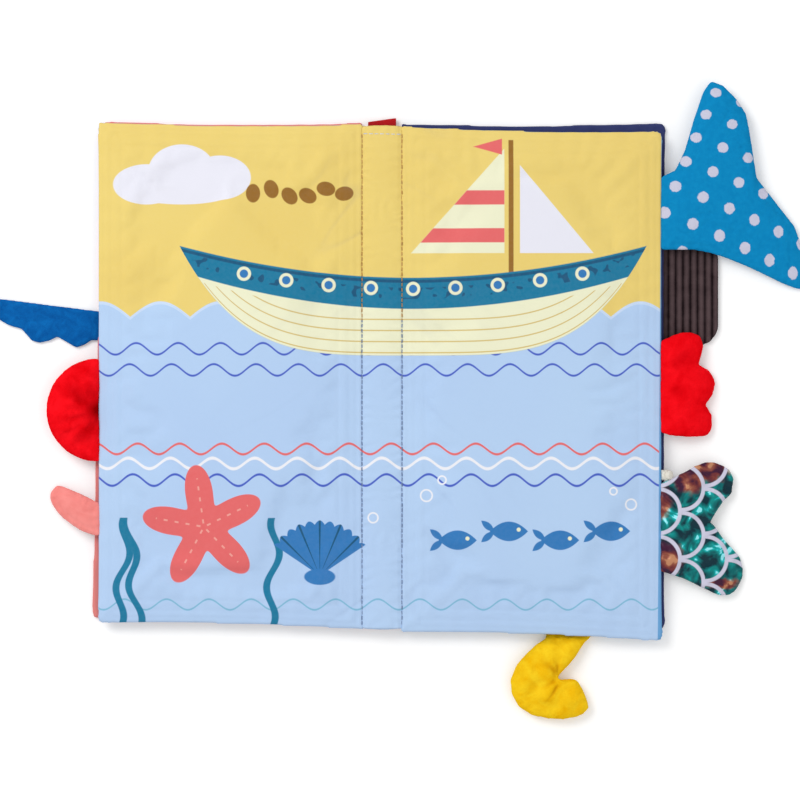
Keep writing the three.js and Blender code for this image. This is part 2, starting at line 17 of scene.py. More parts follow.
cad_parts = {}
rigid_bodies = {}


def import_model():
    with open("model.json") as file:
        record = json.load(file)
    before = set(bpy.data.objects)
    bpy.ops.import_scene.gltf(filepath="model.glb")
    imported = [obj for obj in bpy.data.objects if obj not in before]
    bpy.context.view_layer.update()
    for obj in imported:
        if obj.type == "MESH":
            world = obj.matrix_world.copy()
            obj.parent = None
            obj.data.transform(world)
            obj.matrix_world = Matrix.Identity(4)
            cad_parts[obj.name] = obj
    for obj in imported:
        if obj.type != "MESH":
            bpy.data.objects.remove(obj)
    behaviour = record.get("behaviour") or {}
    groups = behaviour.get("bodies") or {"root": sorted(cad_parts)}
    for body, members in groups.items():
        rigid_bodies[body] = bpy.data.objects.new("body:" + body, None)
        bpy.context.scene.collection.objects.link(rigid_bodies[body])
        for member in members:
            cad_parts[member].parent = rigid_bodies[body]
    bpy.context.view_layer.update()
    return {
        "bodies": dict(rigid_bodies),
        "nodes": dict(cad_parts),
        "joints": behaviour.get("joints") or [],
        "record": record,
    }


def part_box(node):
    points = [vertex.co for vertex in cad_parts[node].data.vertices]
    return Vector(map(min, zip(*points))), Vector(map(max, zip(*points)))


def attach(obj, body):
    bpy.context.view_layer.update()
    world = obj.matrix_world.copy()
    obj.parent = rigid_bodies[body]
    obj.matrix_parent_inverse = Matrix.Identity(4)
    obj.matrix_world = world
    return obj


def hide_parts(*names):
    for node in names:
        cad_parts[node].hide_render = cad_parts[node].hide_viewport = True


log = logging.getLogger("cloth_book")

MM = 0.001
PAGE_SEAM = 6.45 * MM
COVER_SEAM = 1.2 * MM
SPINE_SEAM = 3.0 * MM
STITCH_LINE = 9.0 * MM
Colour = tuple[int, int, int]
Field = Callable[[np.ndarray, np.ndarray], np.ndarray]


class Tint(Enum):
    """The cloths' colours on a scale of 0 to 255, as a photograph shows them."""

    SKY = (238, 213, 122)
    SKY_DEEP = (232, 203, 110)
    SEA = (176, 203, 240)
    SEA_PALE = (184, 212, 243)
    FOAM = (200, 220, 246)
    CLOUD = (233, 233, 244)
    TEAL = (8, 120, 158)
    TEAL_DEEP = (6, 84, 122)
    CREAM = (238, 238, 205)
    TAN = (214, 190, 120)
    CORAL = (230, 104, 104)
    CORAL_PALE = (240, 160, 150)
    AZURE = (45, 120, 186)
    POOL = (128, 186, 216)
    ROYAL = (66, 92, 196)
    OCHRE = (150, 104, 34)
    WHITE = (240, 240, 246)
    LINING_BLUE = (104, 164, 216)
    # Not a cloth's colour: the grey blue of the painted shade in the pages' creases.
    FOLD = (96, 108, 150)
    LINING_YELLOW = (229, 205, 118)
    COVER_CORAL = (230, 132, 128)
    COVER_NAVY = (46, 54, 104)


def linear(colour: Colour | Tint) -> tuple[float, float, float, float]:
    """The linear colour of a photographed one.

    Args:
        colour: The colour on a scale of 0 to 255, or a named tint.

    Returns:
        Red, green, blue and a full alpha.
    """
    values = colour.value if isinstance(colour, Tint) else colour
    shares = [value / 255 for value in values]
    red, green, blue = [s / 12.92 if s <= 0.04045 else ((s + 0.055) / 1.055) ** 2.4 for s in shares]
    return red, green, blue, 1.0


class Signal:
    """A socket of a material on which arithmetic adds Math nodes."""

    def __init__(self, look: Look, socket: bpy.types.NodeSocket) -> None:
        """Keeps the look and its socket."""
        self.look = look
        self.socket = socket

    def __add__(self, other: Signal | float) -> Signal:
        """The sum."""
        return self.look.maths("ADD", self, other)

    def __sub__(self, other: Signal | float) -> Signal:
        """The difference."""
        return self.look.maths("SUBTRACT", self, other)

    def __rsub__(self, other: float) -> Signal:
        """The difference from a number."""
        return self.look.maths("SUBTRACT", other, self)

    def __mul__(self, other: Signal | float) -> Signal:
        """The product."""
        return self.look.maths("MULTIPLY", self, other)

    def __neg__(self) -> Signal:
        """The negative."""
        return self.look.maths("MULTIPLY", self, -1.0)

    def __pow__(self, other: float) -> Signal:
        """A power."""
        return self.look.maths("POWER", self, other)

    __radd__ = __add__
    __rmul__ = __mul__

    def sine(self) -> Signal:
        """The sine of an angle in radians."""
        return self.look.maths("SINE", self)

    def size(self) -> Signal:
        """The absolute value."""
        return self.look.maths("ABSOLUTE", self)

    def root(self) -> Signal:
        """The square root."""
        return self.look.maths("SQRT", self)

    def nearest(self) -> Signal:
        """The nearest whole number."""
        return self.look.maths("ROUND", self)

    def least(self, other: Signal | float) -> Signal:
        """The smaller of two."""
        return self.look.maths("MINIMUM", self, other)

    def most(self, other: Signal | float) -> Signal:
        """The larger of two."""
        return self.look.maths("MAXIMUM", self, other)

    def clipped(self) -> Signal:
        """Its value held from 0 to 1."""
        return self.most(0.0).least(1.0)


class Look:
    """One material and the calls that add nodes to it."""

    def __init__(self, name: str) -> None:
        """Makes an empty material with a Principled shader.

        Args:
            name: The material's name.
        """
        self.material = bpy.data.materials.new(name)
        self.material.use_nodes = True
        self.tree = self.material.node_tree
        self.tree.nodes.clear()
        self.shader = self.tree.nodes.new("ShaderNodeBsdfPrincipled")
        output = self.tree.nodes.new("ShaderNodeOutputMaterial")
        self.tree.links.new(self.shader.outputs["BSDF"], output.inputs["Surface"])
        self.place = self.node("ShaderNodeTexCoord", {}, {}, "Object")
        axes = self.node("ShaderNodeSeparateXYZ", {}, {"Vector": self.place}, None)
        self.x, self.y, self.z = (Signal(self, axes.outputs[axis]) * (1 / MM) for axis in "XYZ")

    def node(
        self, kind: str, settings: dict, inputs: dict, output: str | int | None = 0
    ) -> Signal | bpy.types.Node:
        """Adds any node.

        Args:
            kind: The node's type.
            settings: Its properties, set first; a ramp's stops are under "stops".
            inputs: The values or links of its sockets, by name or index.
            output: The output to give back, or None for the node itself.

        Returns:
            The output as a Signal, or the node.
        """
        made = self.tree.nodes.new(kind)
        for key, value in settings.items():
            if key == "stops":
                self._ramp(made.color_ramp, value)
            else:
                setattr(made, key, value)
        for key, value in inputs.items():
            self.feed(made.inputs[key], value)
        return made if output is None else Signal(self, made.outputs[output])

    @staticmethod
    def _ramp(ramp: bpy.types.ColorRamp, stops: Sequence[tuple[float, Colour | Tint]]) -> None:
        """Sets a ramp's stops from places and colours."""
        while len(ramp.elements) < len(stops):
            ramp.elements.new(1.0)
        for element, (spot, colour) in zip(ramp.elements, stops):
            element.position = spot
            element.color = linear(colour)

    def feed(self, socket: bpy.types.NodeSocket, value: object) -> None:
        """Links a signal to a socket, or sets its value."""
        if isinstance(value, Signal):
            self.tree.links.new(value.socket, socket)
        else:
            socket.default_value = value

    def maths(self, operation: str, first: Signal | float, second: Signal | float = 0.0) -> Signal:
        """A Math node on one or two values."""
        return self.node("ShaderNodeMath", {"operation": operation}, {0: first, 1: second})

    def mix(self, factor: Signal | float, low: object, high: object) -> Signal:
        """A colour between two, which are signals, tints or colours."""
        sides = [side if isinstance(side, Signal) else linear(side) for side in (low, high)]
        settings = {"data_type": "RGBA"}
        made = self.node("ShaderNodeMix", settings, {0: factor, 6: sides[0], 7: sides[1]}, None)
        return Signal(self, made.outputs[2])

    def grain(self, scale: float, detail: float = 2.0, roughness: float = 0.5, warp: float = 0.0) -> Signal:
        """Noise from 0 to 1 over the object, with the size of its grains in millimetres."""
        inputs = {"Vector": self.place, "Scale": 1 / (scale * MM), "Detail": detail}
        inputs |= {"Roughness": roughness, "Distortion": warp}
        return self.node("ShaderNodeTexNoise", {}, inputs, 0)

    def finish(
        self,
        colour: Signal | Colour | Tint,
        roughness: Signal | float,
        relief: Signal | None = None,
        depth: float = 0.1,
        sheen: float = 0.0,
        metallic: Signal | float = 0.0,
        specular: float = 0.12,
        nap: Colour | Tint = Tint.WHITE,
    ) -> bpy.types.Material:
        """Sets the shader and gives back the material.

        Args:
            colour: The base colour.
            roughness: The roughness.
            relief: Heights for a bump, from 0 to 1.
            depth: How deep the bump is, in millimetres.
            sheen: The weight of a soft sheen.
            metallic: How metallic it is.
            specular: The level of plain reflection.
            nap: The colour of the sheen.

        Returns:
            The finished material.
        """
        base = colour if isinstance(colour, Signal) else linear(colour)
        self.feed(self.shader.inputs["Base Color"], base)
        self.feed(self.shader.inputs["Roughness"], roughness)
        self.feed(self.shader.inputs["Metallic"], metallic)
        self.shader.inputs["Specular IOR Level"].default_value = specular
        self.shader.inputs["Sheen Weight"].default_value = sheen
        self.shader.inputs["Sheen Roughness"].default_value = 0.5
        self.shader.inputs["Sheen Tint"].default_value = linear(nap)
        if relief is not None:
            inputs = {"Strength": 1.0, "Distance": depth * MM, "Height": relief}
            self.feed(self.shader.inputs["Normal"], self.node("ShaderNodeBump", {}, inputs))
        return self.material


def weave_relief(look: Look, pitch: float) -> Signal:
    """Heights of a plain weave, with uneven threads.

    Args:
        look: The look to add it to.
        pitch: The distance between threads, in millimetres.

    Returns:
        The heights, from 0 to 1.
    """
    waver = look.grain(6.0, 1.0) * 0.6
    warp = ((look.x + waver) * (math.tau / pitch)).sine()
    weft = ((look.y + waver) * (math.tau / pitch)).sine()
    return (warp * weft) * 0.3 + 0.5 + look.grain(0.35, 2.0) * 0.5 + look.grain(9.0, 3.0) * 1.2


class Print(Look):
    """The picture printed across the open pages, painted in layers from shapes in millimetres."""

    SOFT = 0.35

    def __init__(self, name: str) -> None:
        """Starts from plain sky."""
        super().__init__(name)
        self.picture = self.mix(self.grain(45.0, 1.0), Tint.SKY_DEEP, Tint.SKY)

    def edge(self, distance: Signal) -> Signal:
        """A mask that is 1 where a signed distance in millimetres is below zero."""
        return (distance * (-1 / self.SOFT) + 0.5).clipped()

    def paint(self, mask: Signal, colour: Signal | Tint) -> None:
        """Lays a colour over the picture where the mask is."""
        self.picture = self.mix(mask, self.picture, colour)

    def turned(self, centre: tuple[float, float], turn: float) -> tuple[Signal, Signal]:
        """Coordinates about a centre, turned by an angle in degrees."""
        across, up = self.x - centre[0], self.y - centre[1]
        if not turn:
            return across, up
        cosine, sine = math.cos(math.radians(turn)), math.sin(math.radians(turn))
        return across * cosine + up * sine, up * cosine - across * sine

    def oval(self, centre: tuple[float, float], size: tuple[float, float], turn: float = 0.0) -> Signal:
        """The mask of a filled oval from its centre, half sizes and turn."""
        across, up = self.turned(centre, turn)
        far = ((across * (1 / size[0])) ** 2.0 + (up * (1 / size[1])) ** 2.0).root()
        return self.edge((far - 1.0) * min(size))

    def ring(self, centre: tuple[float, float], radius: float, line: float) -> Signal:
        """The mask of a circle's line."""
        across, up = self.turned(centre, 0.0)
        far = (across * across + up * up).root()
        return self.edge((far - radius).size() - line / 2)

    def wave(self, height: float, rise: float, period: float, line: float, shift: float = 0.0) -> Signal:
        """The mask of a wavy line that runs across the pages."""
        course = (self.x * (math.tau / period) + shift).sine() * rise + height
        return self.edge((self.y - course).size() * 0.85 - line / 2)

    def lens(self, centre: tuple[float, float], half: tuple[float, float], turn: float = 0.0) -> Signal:
        """The mask of a leaf shape with two pointed ends."""
        across, up = self.turned(centre, turn)
        share = across * (1 / half[0])
        return self.edge(up.size() - (1.0 - share * share) * half[1])


@dataclass(frozen=True)
class SeaPicture:
    """A plain seaside picture: sky, cloud, scalloped sea, a long boat, a starfish and a shell."""

    shore: float = 27.0
    scallop: float = 27.0
    wavelength: float = 19.0
    boat_centre: tuple[float, float] = (14.0, 38.0)
    boat_half: float = 92.0
    mast: float = 58.0
    star_centre: tuple[float, float] = (-80.0, -66.0)
    shell_centre: tuple[float, float] = (-28.0, -76.0)
    turned_edge: float = 125.0

    def build(self, name: str, lining: Tint, seam: float) -> bpy.types.Material:
        """Makes the printed cloth.

        Args:
            name: The material's name.
            lining: The colour of the cloth below the seam.
            seam: The seam's height in metres.

        Returns:
            The material.
        """
        look = Print(name)
        self._sea(look)
        self._cloud(look)
        self._boat(look)
        self._star(look)
        self._shell(look)
        self._small_shapes(look)
        look.paint(look.edge(self.turned_edge - look.x + look.y * 0.0075), lining)
        below = look.edge(look.z - seam / MM)
        fold = look.node("ShaderNodeAttribute", {"attribute_name": "fold"}, {}, "Fac")
        # Painted shade: where the fold attribute records a crease, the print is darkened towards a grey blue.
        crease_shaded = look.mix(fold * 0.3, look.picture, Tint.FOLD)
        worn = look.mix(look.grain(1.6, 3.0) * 0.04, crease_shaded, Tint.WHITE)
        colour = look.mix(below, worn, lining)
        return look.finish(colour, look.grain(3.0) * 0.1 + 0.8, weave_relief(look, 0.55), 0.06, 0.03)

    def _sea(self, look: Print) -> None:
        """The scalloped sea with its wavy lines."""
        crest = (look.x * (math.pi / self.scallop) + 0.6).sine().size() * 7.0 + self.shore
        sea = look.mix(look.grain(60.0, 1.0), Tint.SEA, Tint.SEA_PALE)
        look.paint(look.edge(look.y - crest - 1.4), Tint.FOAM)
        look.paint(look.edge(look.y - crest), sea)
        waves = (
            (14.0, 2.6, 0.8, 0.4, Tint.ROYAL),
            (4.5, 2.6, 0.8, 1.4, Tint.ROYAL),
            (-31.0, 2.4, 0.9, 0.2, Tint.CORAL),
            (-37.5, 2.4, 1.2, 1.6, Tint.WHITE),
            (-45.0, 2.6, 0.9, 0.9, Tint.ROYAL),
            (-101.0, 2.4, 0.7, 2.2, Tint.POOL),
        )
        for height, rise, line, shift, tint in waves:
            look.paint(look.wave(height, rise, self.wavelength, line, shift), tint)

    def _cloud(self, look: Print) -> None:
        """A white cloud in the upper left."""
        puffs = ((-106, 88, 15, 9), (-90, 94, 15, 12), (-73, 91, 14, 10), (-90, 85, 24, 6))
        for across, up, wide, high in puffs:
            look.paint(look.oval((across, up), (wide, high)), Tint.CLOUD)

    def _boat(self, look: Print) -> None:
        """A long planked boat, teal above its waterline and cream below, with two sails."""
        left, right = self.mast - 3.0, self.mast + 4.0
        pole = look.edge((look.x - self.mast).size() - 1.1) * look.edge((look.y - 76.0).size() - 32.0)
        look.paint(pole, Tint.OCHRE)
        main = look.edge(look.x - left) * look.edge(57.0 - look.y)
        main *= look.edge((look.y - 57.0 - (look.x - left + 42.0) * 1.12) * 0.67)
        look.paint(main, Tint.CREAM)
        for height in (65.0, 82.0):
            look.paint(look.edge((look.y - height).size() - 3.2) * main, Tint.CORAL)
        narrowing = (look.x - left + 14.0) * 0.28
        flag = look.edge(look.x - left + 1.0) * look.edge((look.y - 105.0).size() - narrowing)
        look.paint(flag, Tint.CORAL)
        jib = look.edge(right - look.x) * look.edge(57.0 - look.y)
        look.paint(jib * look.edge((look.y - 57.0 - (right + 33.0 - look.x) * 1.2) * 0.64), Tint.CLOUD)
        across, up = look.turned(self.boat_centre, 0.0)
        share = across * (1 / self.boat_half)
        sheer = share * share * 11.0 + 8.0
        keel = share ** 4.0 * 29.0 - 27.0
        hull = look.edge(up - sheer) * look.edge(keel - up)
        look.paint(hull, Tint.TEAL)
        waterline = share * share * 13.0 - 6.0
        low = look.edge(up - waterline)
        look.paint(low * hull, Tint.CREAM)
        plank = ((up - keel) * (math.tau / 5.0)).sine()
        look.paint(look.edge((0.93 - plank) * 4.0) * look.edge(up - waterline + 2.0) * hull, Tint.TAN)
        worn = look.edge((look.grain(3.4, 0.0) - 0.64) * -9.0)
        look.paint(worn * look.edge((up - waterline - 7.0).size() - 2.5) * hull, Tint.TEAL_DEEP)
        look.paint(look.edge((up - sheer + 1.6).size() - 0.7) * hull, Tint.TEAL_DEEP)
        for index in range(-4, 5):
            spot = (self.boat_centre[0] + index * 19.0, self.boat_centre[1] + 3.0 + 0.42 * index * index)
            look.paint(look.oval(spot, (3.2, 3.2)), Tint.CREAM)
            look.paint(look.oval(spot, (1.9, 1.9)), Tint.AZURE)

    def _star(self, look: Print) -> None:
        """A coral starfish with pale spots, and weed beside it."""
        across, up = look.turned(self.star_centre, 8.0)
        far = (across * across + up * up).root()
        angle = look.maths("ARCTAN2", across, up)
        arms = look.maths("COSINE", angle * 5.0)
        look.paint(look.edge((far - (arms * 8.5 + 19.5)) * 0.7), Tint.CORAL)
        dots = look.edge((far - (look.maths("FLOOR", far * 0.2) * 5.0 + 2.5)).size() - 0.9)
        spoke = look.edge((look.maths("SINE", angle * 2.5)).size() * far - 1.0)
        look.paint(dots * spoke * look.edge(far - 22.0), Tint.CORAL_PALE)
        for spot, lean in ((-118.0, 9.0), (-111.0, -7.0), (-50.0, 6.0)):
            stem = (look.x - spot - (look.y * 0.22).sine() * 2.4 - (look.y + 100.0) * (lean / 90)).size()
            weed = look.edge(stem - 1.6) * look.edge(look.y + 62.0) * look.edge(-look.y - 112.0)
            look.paint(weed, Tint.TEAL)

    def _shell(self, look: Print) -> None:
        """A blue fan of a shell with darker ribs."""
        across, up = look.turned(self.shell_centre, 0.0)
        far = (across * across + (up + 12.0) * (up + 12.0)).root()
        angle = look.maths("ARCTAN2", across, up + 12.0)
        rim = look.maths("COSINE", angle * 16.0).size() * 1.8 + 23.0
        fan = look.edge(far - rim) * look.edge((angle.size() - 0.98) * far)
        look.paint(fan, Tint.AZURE)
        ribs = look.edge(((angle * 8.0).sine().size() - 0.16) * far * 0.25)
        look.paint(ribs * fan, Tint.TEAL_DEEP)
        look.paint(look.oval((self.shell_centre[0], self.shell_centre[1] - 12.5), (7.0, 3.6)), Tint.AZURE)

    def _small_shapes(self, look: Print) -> None:
        """Pebbles, bubbles and a row of small fish."""
        for index in range(6):
            spot = (-58.0 + index * 8.2, 84.0 + 2.0 * math.sin(index * 1.9))
            look.paint(look.oval(spot, (3.2, 4.2), 20.0 * index), Tint.OCHRE)
        for index in range(4):
            nose = (34.0 + index * 23.0, -72.0 + (index % 2) * 4.0)
            look.paint(look.lens(nose, (8.6, 4.4)), Tint.AZURE)
            for lean in (-1, 1):
                fin = (nose[0] - 9.5, nose[1] + lean * 2.4)
                look.paint(look.lens(fin, (3.8, 1.5), lean * -40.0), Tint.AZURE)
            look.paint(look.oval((nose[0] + 4.4, nose[1] + 0.8), (0.9, 0.9)), Tint.CREAM)
        bubbles = ((20, -52, 2.6), (27, -45, 1.8), (-4, -62, 2.2), (112, -56, 2.4), (104, -50, 1.6))
        for across, up, radius in bubbles:
            look.paint(look.ring((across, up), radius, 0.7), Tint.WHITE)


@dataclass(frozen=True)
class PlainCanvas:
    """Plain cloth of one colour above a seam and another below it and in the turned-in hem."""

    above: Tint
    below: Tint
    seam: float
    turned_in: tuple[float, float, float] = (122.5, 108.5, -104.5)

    def build(self, name: str) -> bpy.types.Material:
        """Makes the material."""
        look = Print(name)
        below = look.edge(look.z - self.seam / MM)
        right, top, low = self.turned_in
        for outside in (right - look.x.size(), top - look.y, look.y - low):
            below = below.most(look.edge(outside))
        colour = look.mix(below, self.above, self.below)
        worn = look.mix(look.grain(1.6, 3.0) * 0.02, colour, Tint.WHITE)
        return look.finish(worn, 0.85, weave_relief(look, 0.55), 0.06, 0.02)


@dataclass(frozen=True)
class Pile:
    """Short plush, with painted shade in its creases, and darker where its nap lies away."""

    deep: Colour
    light: Colour
    shaded_crease: Colour
    tuft: float = 0.8
    depth: float = 0.22

    def build(self, name: str) -> bpy.types.Material:
        """Makes the material."""
        look = Look(name)
        tufts = look.grain(self.tuft, 4.0, 0.65)
        nap = look.grain(7.0, 2.0, 0.5, 0.6)
        mask = ((tufts - 0.5) * 0.7 + (nap - 0.5) * 2.0 + 0.6).clipped()
        fold = look.node("ShaderNodeAttribute", {"attribute_name": "fold"}, {}, "Fac")
        # Painted shade: where the fold attribute records a crease or a hollow, the plush turns to the dark
        # colour given for its creases.
        colour = look.mix(fold, look.mix(mask, self.deep, self.light), self.shaded_crease)
        return look.finish(colour, 0.95, tufts, self.depth, 0.12, specular=0.0, nap=self.light)


@dataclass(frozen=True)
class SpottedCloth:
    """Brushed blue cloth with pale dots on a slanting lattice."""

    ground: Colour = (20, 146, 202)
    ground_deep: Colour = (8, 126, 186)
    dot: Colour = (204, 204, 224)
    radius: float = 2.5
    start: tuple[float, float] = (144.4, 82.2)
    first: tuple[float, float] = (12.1, -4.95)
    second: tuple[float, float] = (-4.5, -11.7)
    narrowing: tuple[float, float] = (0.00175, 0.0021)

    def build(self, name: str) -> bpy.types.Material:
        """Makes the material."""
        look = Print(name)
        area = self.first[0] * self.second[1] - self.first[1] * self.second[0]
        across, up = look.x - self.start[0], look.y - self.start[1]
        across = across + across * across * self.narrowing[0]
        up = up + up * up * self.narrowing[1]
        along = (across * self.second[1] - up * self.second[0]) * (1 / area)
        aside = (up * self.first[0] - across * self.first[1]) * (1 / area)
        along, aside = along - along.nearest(), aside - aside.nearest()
        east = along * self.first[0] + aside * self.second[0]
        north = along * self.first[1] + aside * self.second[1]
        wobble = (look.grain(1.1, 2.0) - 0.5) * 0.9
        dots = look.edge((east * east + north * north).root() - self.radius + wobble)
        ground = look.mix(look.grain(2.0, 4.0), self.ground_deep, self.ground)
        colour = look.mix(dots, ground, self.dot)
        fuzz = look.grain(0.5, 4.0, 0.7)
        relief = fuzz + look.grain(4.0) * 0.8
        return look.finish(colour, 0.92, relief, 0.2, 0.05, specular=0.03, nap=self.ground)


@dataclass(frozen=True)
class Corduroy:
    """Brown corduroy, paler on its ribs from wear and painted highlight, with painted shade in its grooves.
    """

    groove_shade: Colour = (28, 19, 22)
    rib_wear_and_highlight: Colour = (102, 84, 86)
    pitch: float = 3.3
    start: float = 0.0

    def build(self, name: str) -> bpy.types.Material:
        """Makes the material."""
        look = Look(name)
        ribs = ((look.x - self.start) * (math.pi / self.pitch)).sine().size()
        fuzz = look.grain(0.45, 4.0, 0.7)
        worn = look.grain(5.0, 3.0)
        # Painted shade and highlight, with wear: the colour runs from the dark groove shade between the ribs
        # to the pale rib colour on their tops, broken by fuzz and random worn patches.
        mask = (ribs * 0.75 + fuzz * 0.35 + worn * 0.6 - 0.55).clipped()
        colour = look.mix(mask, self.groove_shade, self.rib_wear_and_highlight)
        return look.finish(colour, 0.95, fuzz, 0.3, 0.1, specular=0.03, nap=self.rib_wear_and_highlight)


@dataclass(frozen=True)
class ScaledFoil:
    """Crumpled iridescent foil, teal with copper places, under pale outlines of fish scales, with painted
    highlights and painted shade across its crumples.
    """

    radius: float = 10.7
    line: float = 1.75
    origin: tuple[float, float] = (124.1, -59.1)
    outline: Colour = (206, 204, 224)
    copper: tuple[tuple[float, float, float, float], ...] = (
        (138.0, -44.5, 10.0, 7.5),
        (149.0, -40.5, 9.0, 6.5),
        (127.5, -80.0, 9.5, 9.0),
        (124.5, -54.0, 7.0, 9.0),
        (154.0, -92.0, 9.0, 3.0),
    )

    def build(self, name: str) -> bpy.types.Material:
        """Makes the material."""
        look = Print(name)
        lines = self._outlines(look)
        crumple = look.grain(8.0, 3.0, 0.45, 0.8)
        cells = {"Vector": look.place, "Scale": 210.0}
        ridges = look.node("ShaderNodeTexVoronoi", {"feature": "F1"}, cells, 0)
        # Painted highlight and shade: the crumple and cell noise runs each ramp below from dark shade to
        # bright, nearly white glints, in place of reflections.
        light = ((crumple - 0.42) * 4.2 + (ridges - 0.4) * 0.8).clipped()
        stops = [
            (0.0, (0, 46, 58)),
            (0.4, (0, 104, 106)),
            (0.78, (0, 142, 138)),
            (0.93, (24, 192, 196)),
            (1.0, (150, 236, 244)),
        ]
        teal = look.node("ShaderNodeValToRGB", {"stops": stops}, {"Fac": light})
        warm_stops = [(0.0, (64, 22, 52)), (0.4, (116, 50, 50)), (0.8, (150, 84, 66)), (1.0, (196, 136, 100))]
        warm = look.node("ShaderNodeValToRGB", {"stops": warm_stops}, {"Fac": light})
        colour = look.mix(self._copper(look), teal, warm)
        colour = look.mix(lines, colour, self.outline)
        metal = (1.0 - lines) * 0.12
        rough = lines * 0.45 + 0.36
        return look.finish(colour, rough, crumple * 2.0 + ridges * 0.5 + lines * 0.1, 0.6, 0.0, metal, 0.2)

    def _outlines(self, look: Print) -> Signal:
        """Rows of arcs, each row set half a scale across from the last."""
        across, up = look.turned(self.origin, 0.0)
        row = look.maths("FLOOR", across * (1 / self.radius))
        odd = (row * 0.5 - look.maths("FLOOR", row * 0.5)) * 2.0
        near = across - row * self.radius
        pitch = self.radius * 2
        side = up * (1 / pitch) + odd * 0.5
        side = (side - side.nearest()) * pitch
        far = (near * near + side * side).root()
        return look.edge((far - self.radius + self.line * 0.4).size() - self.line / 2)

    def _copper(self, look: Print) -> Signal:
        """The soft places where the foil turns copper."""
        places = None
        for across, up, wide, high in self.copper:
            east, north = look.turned((across, up), 0.0)
            far = ((east * (1 / wide)) ** 2.0 + (north * (1 / high)) ** 2.0).root()
            place = ((look.grain(5.0) * 1.2 - far + 0.4) * 3.0).clipped()
            places = place if places is None else places.most(place)
        return places


@dataclass(frozen=True)
class Felt:
    """Pressed felt with loose fibres."""

    deep: Colour = (8, 74, 148)
    light: Colour = (18, 116, 196)

    def build(self, name: str) -> bpy.types.Material:
        """Makes the material."""
        look = Look(name)
        fibres = look.grain(0.9, 5.0, 0.75, 2.5)
        patches = look.grain(5.0, 3.0, 0.6, 0.8)
        colour = look.mix((fibres * 1.4 + patches * 1.6 - 1.0).clipped(), self.deep, self.light)
        return look.finish(colour, 0.97, fibres, 0.35, 0.06, specular=0.02, nap=self.light)


@dataclass(frozen=True)
class Satin:
    """Smooth woven satin, with its threads along one line, and painted sheen: lighter on the crests of its
    folds and darker in their hollows.
    """

    deep: Colour
    light: Colour
    gloss: float = 0.42

    def build(self, name: str) -> bpy.types.Material:
        """Makes the material."""
        look = Look(name)
        threads = (look.x * (math.tau / 0.5) + look.grain(2.0) * 6.0).sine() * 0.2 + 0.5
        folds = look.grain(7.0, 3.0, 0.5, 0.8)
        # Painted sheen and shade: the fold noise that also makes the bump turns the colour light on the fold
        # crests and deep in their hollows.
        colour = look.mix((folds * 1.2 - 0.1).clipped(), self.deep, self.light)
        return look.finish(colour, self.gloss, threads + folds * 1.5, 0.15, 0.05, specular=0.15)


@dataclass(frozen=True)
class Thread:
    """Twisted sewing thread or cord, of one colour above a height on the page and another below."""

    upper: Colour
    lower: Colour
    change: float = 27.0
    pitch: float = 0.7

    def build(self, name: str) -> bpy.types.Material:
        """Makes the material."""
        look = Print(name)
        twist = ((look.x + look.y) * (math.tau / self.pitch)).sine() * 0.3 + 0.5
        tint = look.mix(look.edge(look.y - self.change), self.upper, self.lower)
        colour = look.mix(look.grain(1.2, 2.0) * 0.2, tint, Tint.WHITE)
        return look.finish(colour, 0.8, twist, 0.1, 0.02, specular=0.1)


def wander(points: np.ndarray, size: float, seed: float = 0.0) -> np.ndarray:
    """Smooth noise from about -1 to 1 at points in millimetres.

    Args:
        points: The points, one a row.
        size: The size of its swells in millimetres.
        seed: Moves the noise elsewhere.

    Returns:
        One value a point.
    """
    shift = Vector((seed * 13.7, seed * -7.3, seed * 3.1))
    scaled = points / size
    return np.array([noise.noise(Vector(point) + shift) for point in scaled]) * 1.6


class Rim:
    """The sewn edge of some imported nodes, from their upright walls."""

    STEP = 0.8

    def __init__(self, nodes: Iterable[bpy.types.Object]) -> None:
        """Gathers points and directions along the edge.

        Args:
            nodes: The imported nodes.
        """
        spots: list[Vector] = []
        ways: list[tuple[float, float]] = []
        for node in nodes:
            for face in node.data.polygons:
                if abs(face.normal.z) > 0.2:
                    continue
                corners = [node.data.vertices[index].co / MM for index in face.vertices]
                for start, end in zip(corners, corners[1:] + corners[:1]):
                    run = (end - start).xy
                    if run.length < 0.2:
                        continue
                    count = max(1, int(run.length / self.STEP))
                    for index in range(count):
                        spot = start.lerp(end, (index + 0.5) / count)
                        spots.append(Vector((spot.x, spot.y, 0.0)))
                        ways.append(tuple(run.normalized()))
        self.ways = np.array(ways)
        self.tree = kdtree.KDTree(len(spots))
        for index, spot in enumerate(spots):
            self.tree.insert(spot, index)
        self.tree.balance()

    def measure(self, points: np.ndarray) -> tuple[np.ndarray, np.ndarray]:
        """The distance of each point from the edge, and how far along it lies.

        Args:
            points: Points in millimetres, one a row.

        Returns:
            Distances, and places along the edge.
        """
        found = [self.tree.find(Vector((x, y, 0.0))) for x, y, _ in points]
        far = np.array([hit[2] for hit in found])
        ways = self.ways[[hit[1] for hit in found]]
        ways *= np.where(ways[:, :1] + ways[:, 1:] * 0.5 < 0, -1, 1)
        return far, (points[:, :2] * ways).sum(axis=1)


